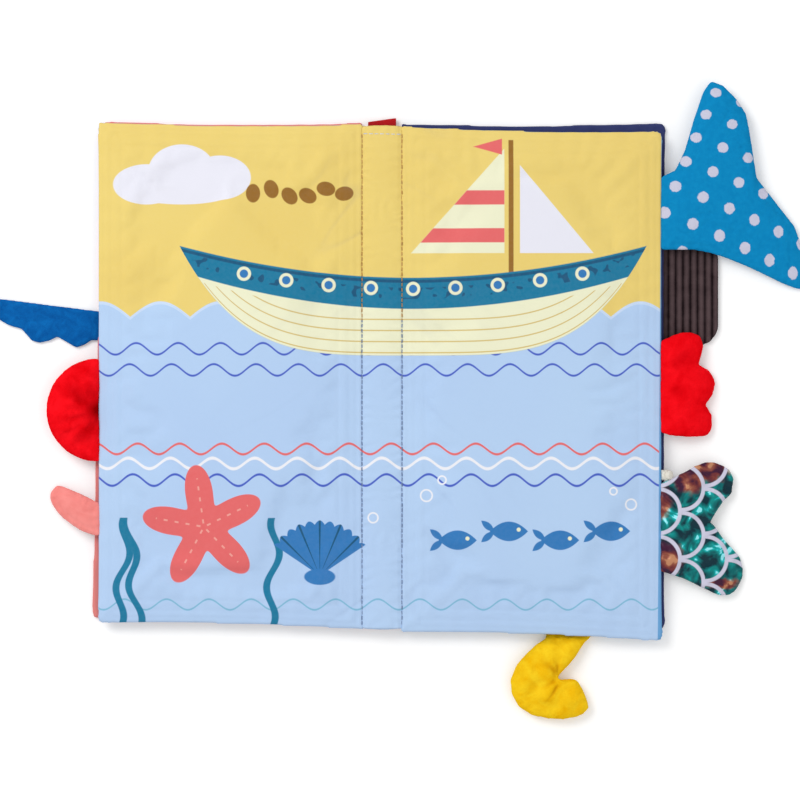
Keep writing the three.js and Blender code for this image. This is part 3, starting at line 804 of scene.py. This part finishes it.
@dataclass(frozen=True)
class Gathers:
    """Creases that run out from one place in a stuffed piece, in millimetres and degrees."""

    centre: tuple[float, float]
    angles: tuple[float, ...]
    start: float
    end: float
    depth: float = 0.9
    width: float = 0.9

    def __call__(self, points: np.ndarray) -> np.ndarray:
        """How deep the creases are at each point."""
        bend = wander(points, 9.0, 3.0) * 1.1
        east, north = points[:, 0] - self.centre[0], points[:, 1] - self.centre[1]
        deepest = np.zeros(len(points))
        for index, angle in enumerate(self.angles):
            cosine, sine = math.cos(math.radians(angle)), math.sin(math.radians(angle))
            along = east * cosine + north * sine
            aside = north * cosine - east * sine + bend
            end = self.end * (0.75 + 0.25 * math.sin(index * 2.1))
            window = np.clip((along - self.start) / 2, 0, 1) * np.clip((end - along) / 6, 0, 1)
            width = self.width * (1 + 0.3 * math.sin(index * 1.3))
            deepest = np.maximum(deepest, np.exp(-((aside / width) ** 2)) * window)
        return deepest * self.depth


@dataclass(frozen=True)
class ClosedCurl:
    """A stuffed tail curled round until its inner edge meets, in millimetres."""

    centre: tuple[float, float]
    hole: float = 2.4
    shift: float = 2.3
    fade: float = 6.0
    overhang: float = 0.5
    hollow: float = 5.0
    hollow_depth: float = 1.5
    folds: tuple[float, ...] = (112, 141, 172, 205, 243)

    def far(self, points: np.ndarray) -> np.ndarray:
        """How far each point is from the middle of the curl."""
        return np.hypot(points[:, 0] - self.centre[0], points[:, 1] - self.centre[1])

    def close(self, points: np.ndarray) -> None:
        """Draws the inner edge in to the middle, where the pile closes it."""
        far = self.far(points) + 1e-6
        share = np.clip((far - self.hole) / self.fade, 0, 1)
        drawn = np.clip(far - self.shift, 0.1, None) * (1 - share) + far * share
        for axis in (0, 1):
            points[:, axis] = self.centre[axis] + (points[:, axis] - self.centre[axis]) * drawn / far
        over = self.overhang * np.clip(1 - (self.centre[0] - points[:, 0]) / 3, 0, 1)
        points[:, 0] = np.minimum(points[:, 0], self.centre[0]) + over

    def creases(self, points: np.ndarray) -> np.ndarray:
        """How deep the folds and the hollow in the middle are at each point; these depths also paint shade
        through the fold attribute, darkest in the hollow.
        """
        folds = Gathers(self.centre, self.folds, start=4.0, end=20.0, depth=0.4, width=2.2)
        hollow = np.exp(-((self.far(points) / self.hollow) ** 2))
        return np.maximum(folds(points), self.hollow_depth * hollow)


@dataclass
class Wrinkles:
    """Shallow slanting creases in cloth beside a line of stitches, in millimetres."""

    depth: float = 0.35
    reach: float = 26.0
    slant: float = 0.7

    def __call__(self, points: np.ndarray) -> np.ndarray:
        """How deep the creases are at each point."""
        side = np.sign(points[:, 0].mean() or 1.0)
        across = np.abs(points[:, 0]) - STITCH_LINE / MM
        slanted = points[:, 1] + side * self.slant * points[:, 0]
        sheared = np.column_stack((points[:, 0] * 0.45, slanted, points[:, 2]))
        ridges = np.exp(-((wander(sheared, 17.0, 9.0) / 0.11) ** 2))
        patches = np.clip(wander(points, 31.0, 4.0) * 1.6 + 0.35, 0, 1)
        return ridges * patches * np.exp(-np.clip(across, 0, None) / self.reach) * self.depth


@dataclass
class LeafMould:
    """Squares off a leaf's corners, with a slight flare outside, and meets the spine."""

    node: bpy.types.Object
    square: float = 8.0
    flare: float = 0.7
    drop: float = 0.0
    reach: float = 0.0
    meets_spine: bool = False
    round_outside: float = 7.0
    round_inside: float = 2.4
    meeting: float = 0.35
    meeting_rise: float = 0.4

    def __call__(self, points: np.ndarray) -> None:
        """Moves the points in place."""
        rim = np.array([vertex.co[:2] for vertex in self.node.data.vertices]) / MM
        side = np.sign(rim[:, 0].mean())
        for upward in (-1, 1):
            for way, radius in ((side, self.round_outside), (-side, self.round_inside)):
                middle = rim[np.argmax(rim[:, 0] * way + rim[:, 1] * upward)]
                inset = radius * (1 - math.sqrt(0.5)) * (1.0 if way == side else 0.5)
                self._square_off(points, middle + np.array((way, upward)) * inset, way, upward, radius)
        share = np.clip((np.abs(points[:, 0]) - STITCH_LINE / MM) / 117.0, 0, 1)
        points[:, 0] += side * self.reach * share
        points[:, 1] -= self.drop * np.clip(-points[:, 1] / 110.0, 0, 1)
        if self.meets_spine:
            near = np.clip(1 - (np.abs(points[:, 0]) - STITCH_LINE / MM) / 2.5, 0, 1)
            points[:, 0] -= side * near * self.meeting
            points[:, 2] += near * self.meeting_rise * (points[:, 2] > 6.5)

    def _square_off(
        self, points: np.ndarray, corner: np.ndarray, side: float, upward: int, radius: float
    ) -> None:
        """Moves the points of one corner outward from the round to a squarer line."""
        across = radius - side * (corner[0] - points[:, 0])
        along = radius - upward * (corner[1] - points[:, 1])
        inside = (across > 0) & (along > 0)
        far = np.hypot(across, along) + 1e-6
        power = self.square
        shares = (np.abs(across / far) ** power + np.abs(along / far) ** power) ** (1 / power)
        grow = (1 / shares - 1) * np.clip(far / radius, 0, 1) ** 2 * inside
        points[:, 0] += side * across * grow
        points[:, 1] += upward * along * grow
        if radius == self.round_outside:
            pull = np.exp((np.minimum(across, radius) + np.minimum(along, radius) - 2 * radius) / 9.0)
            points[:, 0] += side * pull * self.flare
            points[:, 1] += upward * pull * self.flare * 0.6


@dataclass
class Sewing:
    """How the surface of one sewn piece is shaped, in millimetres."""

    pucker: float = 0.25
    pucker_length: float = 8.0
    pucker_reach: float = 6.0
    swell: float = 0.3
    swell_size: float = 34.0
    tuft: float = 0.0
    tuft_size: float = 1.6
    seam: float = 0.2
    seam_inset: float = 2.4
    flat_below: bool = True
    grow: float = 0.3
    extra: Field | None = None
    # Crease depths dent the surface and, kept as the fold attribute, paint shade into the creases.
    shaded_crease: Callable[[np.ndarray], np.ndarray] | None = None
    mould: Callable[[np.ndarray], None] | None = None

    def relief(self, points: np.ndarray, normals: np.ndarray, rim: Rim) -> np.ndarray:
        """How far each point moves along its normal.

        Args:
            points: Points in millimetres, one a row.
            normals: Their normals.
            rim: The piece's sewn edge.

        Returns:
            Distances in millimetres.
        """
        far, along = rim.measure(points)
        slow = wander(points, self.swell_size)
        bend = wander(points, self.pucker_length * 1.7, 2.0)
        near = np.exp(-far / self.pucker_reach) * np.clip(far / 1.2, 0, 1)
        fold = np.sin(along * (math.tau / self.pucker_length) + bend * 3.5)
        height = slow * self.swell * np.clip(far / 6.0, 0, 1) + fold * near * self.pucker
        height -= self.seam * np.exp(-(((far - self.seam_inset) / 0.8) ** 2))
        if self.tuft:
            height += wander(points, self.tuft_size, 5.0) * self.tuft
            height += wander(points, self.tuft_size * 0.5, 6.0) * self.tuft * 0.5
        if self.extra:
            height += self.extra(points, normals)
        upward = np.clip(normals[:, 2] * 2.5 + 0.6, 0, 1)
        return height * upward if self.flat_below else height


@dataclass(frozen=True)
class Tuck:
    """Draws a tail's root in to the seam that holds it."""

    axis: int
    way: int
    depth: float = 0.55

    def __call__(self, points: np.ndarray) -> None:
        """Moves the points in place."""
        along = points[:, self.axis] * self.way
        points[:, self.axis] += self.way * self.depth * np.clip(1 - (along.max() - along) / 3.0, 0, 1)


def only(*objects: bpy.types.Object) -> None:
    """Selects only these objects, the first of them active."""
    bpy.ops.object.select_all(action="DESELECT")
    for item in objects:
        item.select_set(True)
    bpy.context.view_layer.objects.active = objects[0]


def add_modifier(piece: bpy.types.Object, kind: str, **settings: object) -> None:
    """Adds a modifier to a piece and applies it."""
    only(piece)
    made = piece.modifiers.new(kind.title(), kind)
    for key, value in settings.items():
        setattr(made, key, value)
    bpy.ops.object.modifier_apply(modifier=made.name)


def keep_largest(piece: bpy.types.Object) -> None:
    """Deletes all but the largest connected part of a mesh."""
    shape = bmesh.new()
    shape.from_mesh(piece.data)
    shape.verts.ensure_lookup_table()
    unseen = set(range(len(shape.verts)))
    groups: list[set[int]] = []
    while unseen:
        start = unseen.pop()
        group, edge = {start}, [start]
        while edge:
            vertex = shape.verts[edge.pop()]
            for link in vertex.link_edges:
                other = link.other_vert(vertex).index
                if other in unseen:
                    unseen.discard(other)
                    group.add(other)
                    edge.append(other)
        groups.append(group)
    largest = max(groups, key=len)
    extra = [vertex for vertex in shape.verts if vertex.index not in largest]
    bmesh.ops.delete(shape, geom=extra, context="VERTS")
    shape.to_mesh(piece.data)
    shape.free()


@dataclass(frozen=True)
class Settling:
    """Lets a leaf's cloth settle, a little too large for its seam, with soft filling under it."""

    voxel: float = 3.2
    excess: float = 0.02
    pressure: float = 0.4
    frames: int = 14
    cap: float = 1.3
    hem: float = 3.5

    def offsets(self, piece: bpy.types.Object, rim: Rim) -> tuple[kdtree.KDTree, np.ndarray]:
        """Runs the cloth on a coarse copy.

        Args:
            piece: The leaf before its surface is shaped.
            rim: Its sewn edge, which is held.

        Returns:
            A tree of the coarse points in millimetres, and how far each one moved.
        """
        coarse = bpy.data.objects.new("settling", piece.data.copy())
        bpy.context.scene.collection.objects.link(coarse)
        add_modifier(coarse, "REMESH", mode="VOXEL", voxel_size=self.voxel * MM, adaptivity=0.0)
        keep_largest(coarse)
        rest = np.array([vertex.co for vertex in coarse.data.vertices]) / MM
        far, _ = rim.measure(rest)
        held = coarse.vertex_groups.new(name="held")
        for index, distance in enumerate(far):
            weight = float(np.clip(1 - (distance - self.hem) / self.voxel, 0, 1))
            held.add([index], max(weight, 0.02), "REPLACE")
        only(coarse)
        cloth = coarse.modifiers.new("Cloth", "CLOTH")
        settings = cloth.settings
        settings.quality = 6
        settings.mass = 0.05
        settings.tension_stiffness = settings.compression_stiffness = 12
        settings.bending_stiffness = 0.4
        settings.shrink_min = -self.excess
        settings.use_pressure = True
        settings.uniform_pressure_force = self.pressure
        settings.vertex_group_mass = held.name
        settings.effector_weights.gravity = 0
        cloth.point_cache.frame_end = self.frames
        for frame in range(1, self.frames + 1):
            bpy.context.scene.frame_set(frame)
        settled = coarse.evaluated_get(bpy.context.evaluated_depsgraph_get())
        moved = np.array([vertex.co for vertex in settled.data.vertices]) / MM - rest
        length = np.linalg.norm(moved, axis=1)[:, None] + 1e-9
        moved *= np.minimum(length, self.cap) / length
        tree = kdtree.KDTree(len(rest))
        for index, spot in enumerate(rest):
            tree.insert(spot, index)
        tree.balance()
        bpy.context.scene.frame_set(1)
        bpy.data.objects.remove(coarse)
        log.info("settled %s: up to %.2f mm, mean %.2f mm", piece.name, length.max(), length.mean())
        return tree, moved

    def settle(self, piece: bpy.types.Object, rim: Rim) -> None:
        """Moves a fine piece as its coarse copy moved."""
        tree, moved = self.offsets(piece, rim)
        for vertex in piece.data.vertices:
            near = tree.find_n(vertex.co / MM, 5)
            weights = [1 / (hit[2] ** 2 + 0.5) for hit in near]
            total = sum(weights)
            shift = sum((moved[hit[1]] * weight for hit, weight in zip(near, weights)), np.zeros(3)) / total
            vertex.co += Vector(shift) * MM


@dataclass(frozen=True)
class Cut:
    """The flat size and area a sheet of cloth was cut to, in millimetres, and how it is held."""

    width: float
    length: float
    area: float
    held: str

    def declare(self, piece: bpy.types.Object) -> None:
        """Works out the width in metres and does nothing with it."""
        self.width * MM


@dataclass
class SoftPiece:
    """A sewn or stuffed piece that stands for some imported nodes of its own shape."""

    name: str
    body: str
    nodes: tuple[str, ...]
    sewing: Sewing
    voxel: float = 0.7
    smoothing: int = 5
    fill: float = 0.5
    settling: Settling | None = None
    cut: Cut | None = None

    def build(self, frame: dict, material: bpy.types.Material) -> bpy.types.Object:
        """Makes the piece from its nodes' space and shapes its surface.

        Args:
            frame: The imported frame.
            material: Its cloth.

        Returns:
            The piece.
        """
        sources = [frame["nodes"][node] for node in self.nodes]
        piece = self._merged(sources)
        add_modifier(piece, "REMESH", mode="VOXEL", voxel_size=self.voxel * MM, adaptivity=0.0)
        keep_largest(piece)
        rim = Rim(sources)
        if self.settling:
            self.settling.settle(piece, rim)
        add_modifier(piece, "SMOOTH", factor=0.5, iterations=self.smoothing)
        self._shape(piece, rim)
        piece.data.materials.clear()
        piece.data.materials.append(material)
        only(piece)
        bpy.ops.object.shade_smooth()
        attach(piece, self.body)
        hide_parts(*self.nodes)
        if self.cut:
            self.cut.declare(piece)
        log.info("%s: %d faces", self.name, len(piece.data.polygons))
        return piece

    def _merged(self, sources: Sequence[bpy.types.Object]) -> bpy.types.Object:
        """One object of copies of the nodes."""
        copies = []
        for source in sources:
            copy = bpy.data.objects.new(self.name, source.data.copy())
            bpy.context.scene.collection.objects.link(copy)
            copies.append(copy)
        only(*copies)
        if len(copies) > 1:
            bpy.ops.object.join()
        piece = copies[0]
        piece.name = self.name
        bpy.ops.object.mode_set(mode="EDIT")
        bpy.ops.mesh.select_all(action="SELECT")
        bpy.ops.mesh.remove_doubles(threshold=0.01 * MM)
        bpy.ops.object.mode_set(mode="OBJECT")
        return piece

    def _shape(self, piece: bpy.types.Object, rim: Rim) -> None:
        """Moves the surface along its normals by the sewing's relief."""
        count = len(piece.data.vertices)
        places = np.empty(count * 3)
        piece.data.vertices.foreach_get("co", places)
        points = places.reshape(-1, 3) / MM
        normals = np.empty(count * 3)
        piece.data.vertex_normals.foreach_get("vector", normals)
        normals = normals.reshape(-1, 3)
        relief = self.sewing.relief(points, normals, rim)
        creases = self.sewing.shaded_crease(points) if self.sewing.shaded_crease else np.zeros(count)
        points[:, :2] += normals[:, :2] * self.sewing.grow
        if self.sewing.mould:
            self.sewing.mould(points)
        moved = points + normals * (relief - creases * np.clip(normals[:, 2] + 0.5, 0, 1))[:, None]
        # The crease depths are kept as the fold attribute, from which the materials paint shade into the
        # creases.
        fold = piece.data.attributes.new("fold", "FLOAT", "POINT")
        fold.data.foreach_set("value", np.clip(creases, 0, 1))
        moved[:, 2] = np.maximum(moved[:, 2], 0.0)
        piece.data.vertices.foreach_set("co", (moved * MM).ravel())
        piece.data.update()


@dataclass
class Stitches:
    """A straight row of sewn stitches, each a short thread that dips at its ends."""

    name: str
    start: tuple[float, float]
    end: tuple[float, float]
    pitch: float = 2.3
    length: float = 1.75
    thickness: float = 0.5

    def build(self, material: bpy.types.Material, cloth: bpy.types.Object) -> bpy.types.Object:
        """Makes one stitch and repeats it along the row.

        Args:
            material: The thread.
            cloth: The cloth that the row lies on.

        Returns:
            The row, as one piece.
        """
        start, end = (Vector((*spot, 0.0)) * MM for spot in (self.start, self.end))
        run = end - start
        count = int(run.length / (self.pitch * MM))
        rows = []
        for index in range(count):
            middle = start + run * ((index + 0.5) / count)
            above = Vector((middle.x * 0.95, middle.y, 0.05))
            middle.z = cloth.ray_cast(above, Vector((0, 0, -1)))[1].z + self.thickness * 0.15 * MM
            rows.append(self._stitch(middle, run, index))
        only(*rows)
        if len(rows) > 1:
            bpy.ops.object.join()
        piece = rows[0]
        piece.name = self.name
        piece.data.materials.append(material)
        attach(piece, "spine")
        log.info("%s: %d stitches", self.name, count)
        return piece

    def _stitch(self, middle: Vector, run: Vector, index: int) -> bpy.types.Object:
        """One thread, thicker in its middle."""
        bpy.ops.mesh.primitive_cylinder_add(
            vertices=8, radius=self.thickness / 2 * MM, depth=self.length * MM, end_fill_type="NGON"
        )
        stitch = bpy.context.object
        bpy.ops.object.mode_set(mode="EDIT")
        bpy.ops.mesh.select_all(action="SELECT")
        bpy.ops.mesh.bevel(offset=self.thickness * 0.3 * MM, segments=2)
        bpy.ops.object.mode_set(mode="OBJECT")
        lean = math.radians(4.0 * math.sin(index * 2.3))
        turn = run.to_track_quat("Z", "X").to_matrix().to_4x4()
        for vertex in stitch.data.vertices:
            share = vertex.co.z / (self.length * MM / 2)
            vertex.co = turn.to_3x3() @ vertex.co
            vertex.co.z -= share * share * self.thickness * 0.5 * MM
            vertex.co.x += vertex.co.y * math.tan(lean) if abs(run.y) > abs(run.x) else 0.0
            vertex.co += middle
        stitch.location = (0, 0, 0)
        for polygon in stitch.data.polygons:
            polygon.use_smooth = True
        return stitch


@dataclass
class Studio:
    """The floor, the soft lights and the camera above the book."""

    centre: tuple[float, float] = (8.1, -9.0)
    width: float = 360.0
    height: float = 1500.0

    def build(self) -> None:
        """Makes them all."""
        self._floor()
        self._lights()
        self._camera()

    def _floor(self) -> None:
        """A pale floor that reads as white."""
        bpy.ops.mesh.primitive_plane_add(size=6.0, location=(0, 0, -0.0002))
        floor = bpy.context.object
        floor.name = "floor"
        look = Look("floor")
        path = look.node("ShaderNodeLightPath", {}, {}, "Is Camera Ray")
        for ray in ("Is Glossy Ray", "Is Transmission Ray"):
            path = path.most(look.node("ShaderNodeLightPath", {}, {}, ray))
        dark, glowing = (0, 0, 0), (110, 110, 110)
        glow = look.mix(path, dark, glowing)
        look.feed(look.shader.inputs["Emission Color"], glow)
        look.shader.inputs["Emission Strength"].default_value = 1.0
        pale, white = (225, 225, 225), (250, 250, 250)
        shade = look.mix(path, pale, white)
        floor.data.materials.append(look.finish(shade, 0.9, specular=0.0))

    def _lights(self) -> None:
        """A white world and two large lamps."""
        world = bpy.data.worlds.new("studio")
        world.use_nodes = True
        ground = world.node_tree.nodes["Background"]
        ground.inputs["Color"].default_value = (1.0, 1.0, 1.0, 1.0)
        ground.inputs["Strength"].default_value = 0.66
        bpy.context.scene.world = world
        lamps = (("key", (-0.75, 0.65, 1.1), 0.7, 9.0), ("fill", (0.9, -0.5, 1.2), 1.2, 2.5))
        for name, place, size, power in lamps:
            lamp = bpy.data.lights.new(name, "AREA")
            lamp.size = size
            lamp.energy = power
            holder = bpy.data.objects.new(name, lamp)
            holder.location = place
            holder.rotation_euler = (-Vector(place)).to_track_quat("-Z", "Y").to_euler()
            bpy.context.scene.collection.objects.link(holder)

    def _camera(self) -> None:
        """A long lens straight above."""
        camera = bpy.data.cameras.new("camera")
        camera.sensor_width = 36.0
        camera.lens = 36.0 * self.height / self.width
        holder = bpy.data.objects.new("camera", camera)
        holder.location = (self.centre[0] * MM, self.centre[1] * MM, (self.height + 8.0) * MM)
        holder.rotation_euler = (0, 0, 0)
        bpy.context.scene.collection.objects.link(holder)
        bpy.context.scene.camera = holder
        bpy.context.scene.view_settings.view_transform = "Standard"


@dataclass
class Book:
    """The whole book: leaves, spine and tails."""

    frame: dict
    picture: SeaPicture = field(default_factory=SeaPicture)

    def build(self) -> None:
        """Makes every piece."""
        self._leaves()
        self._spine()
        self._page_tails()
        self._cover_tails()
        self._stitching()

    def _make(self, name: str, body: str, nodes: Iterable[str], sewing: Sewing, cloth: bpy.types.Material,
              voxel: float = 0.6, smoothing: int = 5, fill: float = 0.5,
              settling: Settling | None = None, cut: Cut | None = None) -> bpy.types.Object:
        """Builds one soft piece."""
        soft = SoftPiece(name, body, tuple(nodes), sewing, voxel, smoothing, fill, settling, cut)
        return soft.build(self.frame, cloth)

    @staticmethod
    def _lift_spine(points: np.ndarray) -> None:
        """Draws the spine's cloth up and out to the pages' edges."""
        foot, lift, widening = 4.0, 2.1, 1.045
        low = points[:, 2].min()
        points[:, 2] += np.clip((points[:, 2] - low) / foot, 0, 1) * lift
        points[:, 0] *= widening

    @staticmethod
    def _stretch_hook(points: np.ndarray) -> None:
        """Lets the hook hang a little lower and wider, and tucks in its root."""
        lengthening, widening = 1.08, 0.08
        top = points[:, 1].max()
        root = points[points[:, 1] > top - 2.0, 0].min()
        points[:, 1] = top + (points[:, 1] - top) * lengthening
        points[:, 0] += (points[:, 0] - root) * widening * (points[:, 0] < root)
        inner, reach, pull = (83.5, -131.5), 3.4, (3.2, 2.6)
        far = (points[:, 0] - inner[0]) ** 2 + (points[:, 1] - inner[1]) ** 2
        notch = np.exp(-far / reach**2)
        points[:, 0] -= notch * pull[0]
        points[:, 1] -= notch * pull[1]
        floor = points[:, 2].min()
        root_length, thinning = 7.0, 0.35
        flattened = 1 - thinning * np.clip(1 - (top - points[:, 1]) / root_length, 0, 1)
        points[:, 2] = floor + (points[:, 2] - floor) * flattened
        Tuck(1, 1, 1.0)(points)

    @staticmethod
    def _slant_ribbon(points: np.ndarray) -> None:
        """Leaves less of the ribbon showing, and less at its left side."""
        showing, slant = 0.5, 0.02
        low = points[:, 1].min()
        points[:, 1] = low + (points[:, 1] - low) * (showing + slant * points[:, 0])

    def _leaves(self) -> None:
        """The four padded leaves."""
        page = self.picture.build("printed page", Tint.LINING_BLUE, PAGE_SEAM)
        turned_over = COVER_SEAM + 1.5 * MM
        coral = PlainCanvas(Tint.LINING_YELLOW, Tint.COVER_CORAL, turned_over).build("coral cover")
        navy = PlainCanvas(Tint.LINING_BLUE, Tint.COVER_NAVY, turned_over).build("navy cover")
        drops = {"page_left": 0.3, "page_right": 1.0}
        cloths = {"page_left": page, "page_right": page, "cover_left": coral, "cover_right": navy}
        for leaf, cloth in cloths.items():
            nodes = [f"{leaf}_{layer}" for layer in ("front", "film", "wadding", "back")]
            page_leaf = leaf.startswith("page")
            mould = LeafMould(
                self.frame["nodes"][f"{leaf}_front"],
                square=8.0 if page_leaf else 5.0,
                drop=drops.get(leaf, 0.0),
                reach=-1.4 if leaf == "cover_right" else 0.0,
                meets_spine=page_leaf,
            )
            sewing = Sewing(pucker=0.2, pucker_length=13.0, pucker_reach=8.0, swell=0.45, swell_size=42.0,
                            shaded_crease=Wrinkles() if page_leaf else None, mould=mould)
            settling = Settling() if page_leaf else Settling(cap=0.9)
            self._make(f"{leaf}_leaf", leaf, nodes, sewing, cloth, 0.95, 6, 0.35, settling)

    def _spine(self) -> None:
        """The spine's cloth strips and its ribbon loop."""
        coral = PlainCanvas(Tint.COVER_CORAL, Tint.COVER_CORAL, 0.0).build("spine canvas")
        page = self.picture.build("printed spine", Tint.LINING_BLUE, SPINE_SEAM)
        strip = Sewing(pucker=0.25, pucker_length=5.5, pucker_reach=4.0, swell=0.25, swell_size=14.0,
                       seam=0.0,
                       extra=lambda points, normals: np.clip(1.0 - (points[:, 0] / 9.0) ** 2, 0, 1) * 0.5,
                       mould=self._lift_spine)
        self._make("spine_inner_cloth", "spine", ["spine_inner_strip", "spine_pad"], strip, page, 0.6, 3, 0.3)
        plain = Sewing(pucker=0.0, swell=0.0, seam=0.0)
        loop = Sewing(pucker=0.0, swell=0.0, seam=0.0, mould=self._slant_ribbon)
        strip_cut = Cut(17.7, 225.7, 3990.0, "stretched")
        self._make("spine_outer_cloth", "spine", ["spine_outer_strip"], plain, coral, 0.5, 2, cut=strip_cut)
        ribbon = Satin((150, 8, 16), (200, 12, 22), 0.6).build("red ribbon")
        loop_cut = Cut(12.1, 10.4, 98.0, "folded")
        self._make("ribbon_fold", "ribbon", ["ribbon_loop"], loop, ribbon, 0.25, 1, cut=loop_cut)

    def _page_tails(self) -> None:
        """The tails in the open pages' edges."""
        red = Pile((222, 2, 10), (255, 20, 32), (156, 0, 4)).build("red plush")
        spots = SpottedCloth().build("spotted cloth")
        fluke = Sewing(pucker=0.2, pucker_length=7.5, pucker_reach=5.0, swell=0.6, swell_size=18.0,
                       mould=Tuck(0, -1))
        nodes = [f"fluke_tail_{layer}" for layer in ("front", "wadding", "back")]
        self._make("fluke", "fluke", nodes, fluke, spots, 0.65, 14, 0.5)
        low, high = (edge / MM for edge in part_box("lobed_tail_front"))
        middle = (low.y + high.y) / 2
        lobes = Gathers((low.x - 4, middle + 3), (-27, 31), 9.0, 24.0, 0.45, 2.4)
        smooth = Pile((230, 4, 14), (255, 18, 30), (196, 0, 8)).build("smooth red plush")
        plush = Sewing(pucker=0.0, swell=0.35, swell_size=17.0, tuft=0.1, seam=0.0, flat_below=False,
                       shaded_crease=lobes, mould=Tuck(0, -1))
        nodes = ["lobed_tail_front", "lobed_tail_back"]
        self._make("lobed_tail", "lobed_tail", nodes, plush, smooth, 0.55, 10, 0.7)
        foil = Sewing(pucker=0.35, pucker_length=6.0, pucker_reach=5.0, swell=0.9, swell_size=9.0, tuft=0.12,
                      tuft_size=3.5, mould=Tuck(0, -1))
        cloth = ScaledFoil().build("scaled foil")
        self._make("foil_tail", "foil_tail", ["foil_tail_front", "foil_tail_back"], foil, cloth, 0.5, 9, 0.3)
        satin = Sewing(pucker=0.25, pucker_length=6.0, pucker_reach=4.0, swell=0.5, swell_size=9.0,
                       mould=Tuck(0, 1))
        coral = Satin((240, 124, 118), (253, 156, 150)).build("coral satin")
        nodes = ["satin_tail_front", "satin_tail_back"]
        self._make("satin_tail", "satin_tail", nodes, satin, coral, 0.45, 14, 0.4)
        self._curl(red)
        cord = Thread((226, 222, 208), (226, 222, 208), pitch=1.4).build("white cord")
        rope = Sewing(pucker=0.0, swell=0.0, seam=0.0, flat_below=False,
                      extra=lambda points, normals: 0.25 * np.sin((points[:, 0] * 1.2 + points[:, 2]) * 2.4))
        self._make("cord_stub", "page_right", ["cord_end"], rope, cord, 0.25, 2, 0.6)

    def _curl(self, plush: bpy.types.Material) -> None:
        """The curled tail, gathered round its closed middle."""
        low, high = (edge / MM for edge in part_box("curled_tail"))
        curl = ClosedCurl((high.x, (low.y + high.y) / 2))
        sewing = Sewing(pucker=0.0, swell=1.1, swell_size=8.0, tuft=0.1, seam=0.0, flat_below=False,
                        shaded_crease=curl.creases, mould=curl.close)
        self._make("curl", "curl", ["curled_tail"], sewing, plush, 0.6, 6, 0.8)

    def _cover_tails(self) -> None:
        """The tails in the covers' edges."""
        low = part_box("corduroy_tail_front")[0]
        ribbed_cloth = Corduroy(start=low.x / MM)
        ribbed = ribbed_cloth.build("corduroy")
        pitch, height = ribbed_cloth.pitch, 0.35
        ribs = Sewing(pucker=0.0, swell=0.2, swell_size=14.0, seam=0.25, seam_inset=1.4,
                      mould=Tuck(0, -1, 2.2), extra=lambda points, normals: height * np.abs(
                          np.sin((points[:, 0] - low.x / MM) * math.pi / pitch)))
        nodes = ["corduroy_tail_front", "corduroy_tail_back"]
        self._make("corduroy_tail", "corduroy_tail", nodes, ribs, ribbed, 0.45, 2, 0.2)
        yellow = Pile((240, 178, 2), (255, 212, 36), (196, 128, 0)).build("yellow plush")
        bend = Gathers((82.0, -133.0), (118, 142, 165, 196, 232), 3.0, 14.0, 0.6, 1.1)
        plush = Sewing(pucker=0.2, pucker_length=6.0, swell=1.2, swell_size=7.0, tuft=0.12, seam=0.0,
                       shaded_crease=bend, mould=self._stretch_hook)
        self._make("hook", "hook", ["hooked_tail"], plush, yellow, 0.55, 20, 0.8)
        felt = Sewing(pucker=0.0, swell=0.3, swell_size=14.0, tuft=0.06, tuft_size=2.5, seam=0.0, grow=0.45,
                      mould=Tuck(0, 1, 0.8))
        fin_cut = Cut(51.3, 21.6, 670.0, "laid")
        cloth = Felt().build("blue felt")
        self._make("felt_fin", "felt_fin", ["felt_fin_tail"], felt, cloth, 0.4, 30, cut=fin_cut)

    def _stitching(self) -> None:
        """The rows of stitches along the spine."""
        thread = Thread((214, 158, 62), (126, 152, 196)).build("seam thread")
        white = Thread((240, 240, 244), (240, 240, 244)).build("white thread")
        cloth = bpy.data.objects["spine_inner_cloth"]
        for name, side in (("left", -1), ("right", 1)):
            across = side * STITCH_LINE / MM
            Stitches(f"{name}_stitches", (across, -110.5), (across, 111.0)).build(thread, cloth)
        Stitches("top_stitches", (-8.6, 110.9), (8.6, 110.6), 2.2, 1.9).build(white, cloth)


def main() -> None:
    """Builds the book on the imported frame."""
    logging.basicConfig(level=logging.INFO, format="%(message)s")
    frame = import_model()
    Studio().build()
    Book(frame).build()
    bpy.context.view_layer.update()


if __name__ == "__main__":
    main()
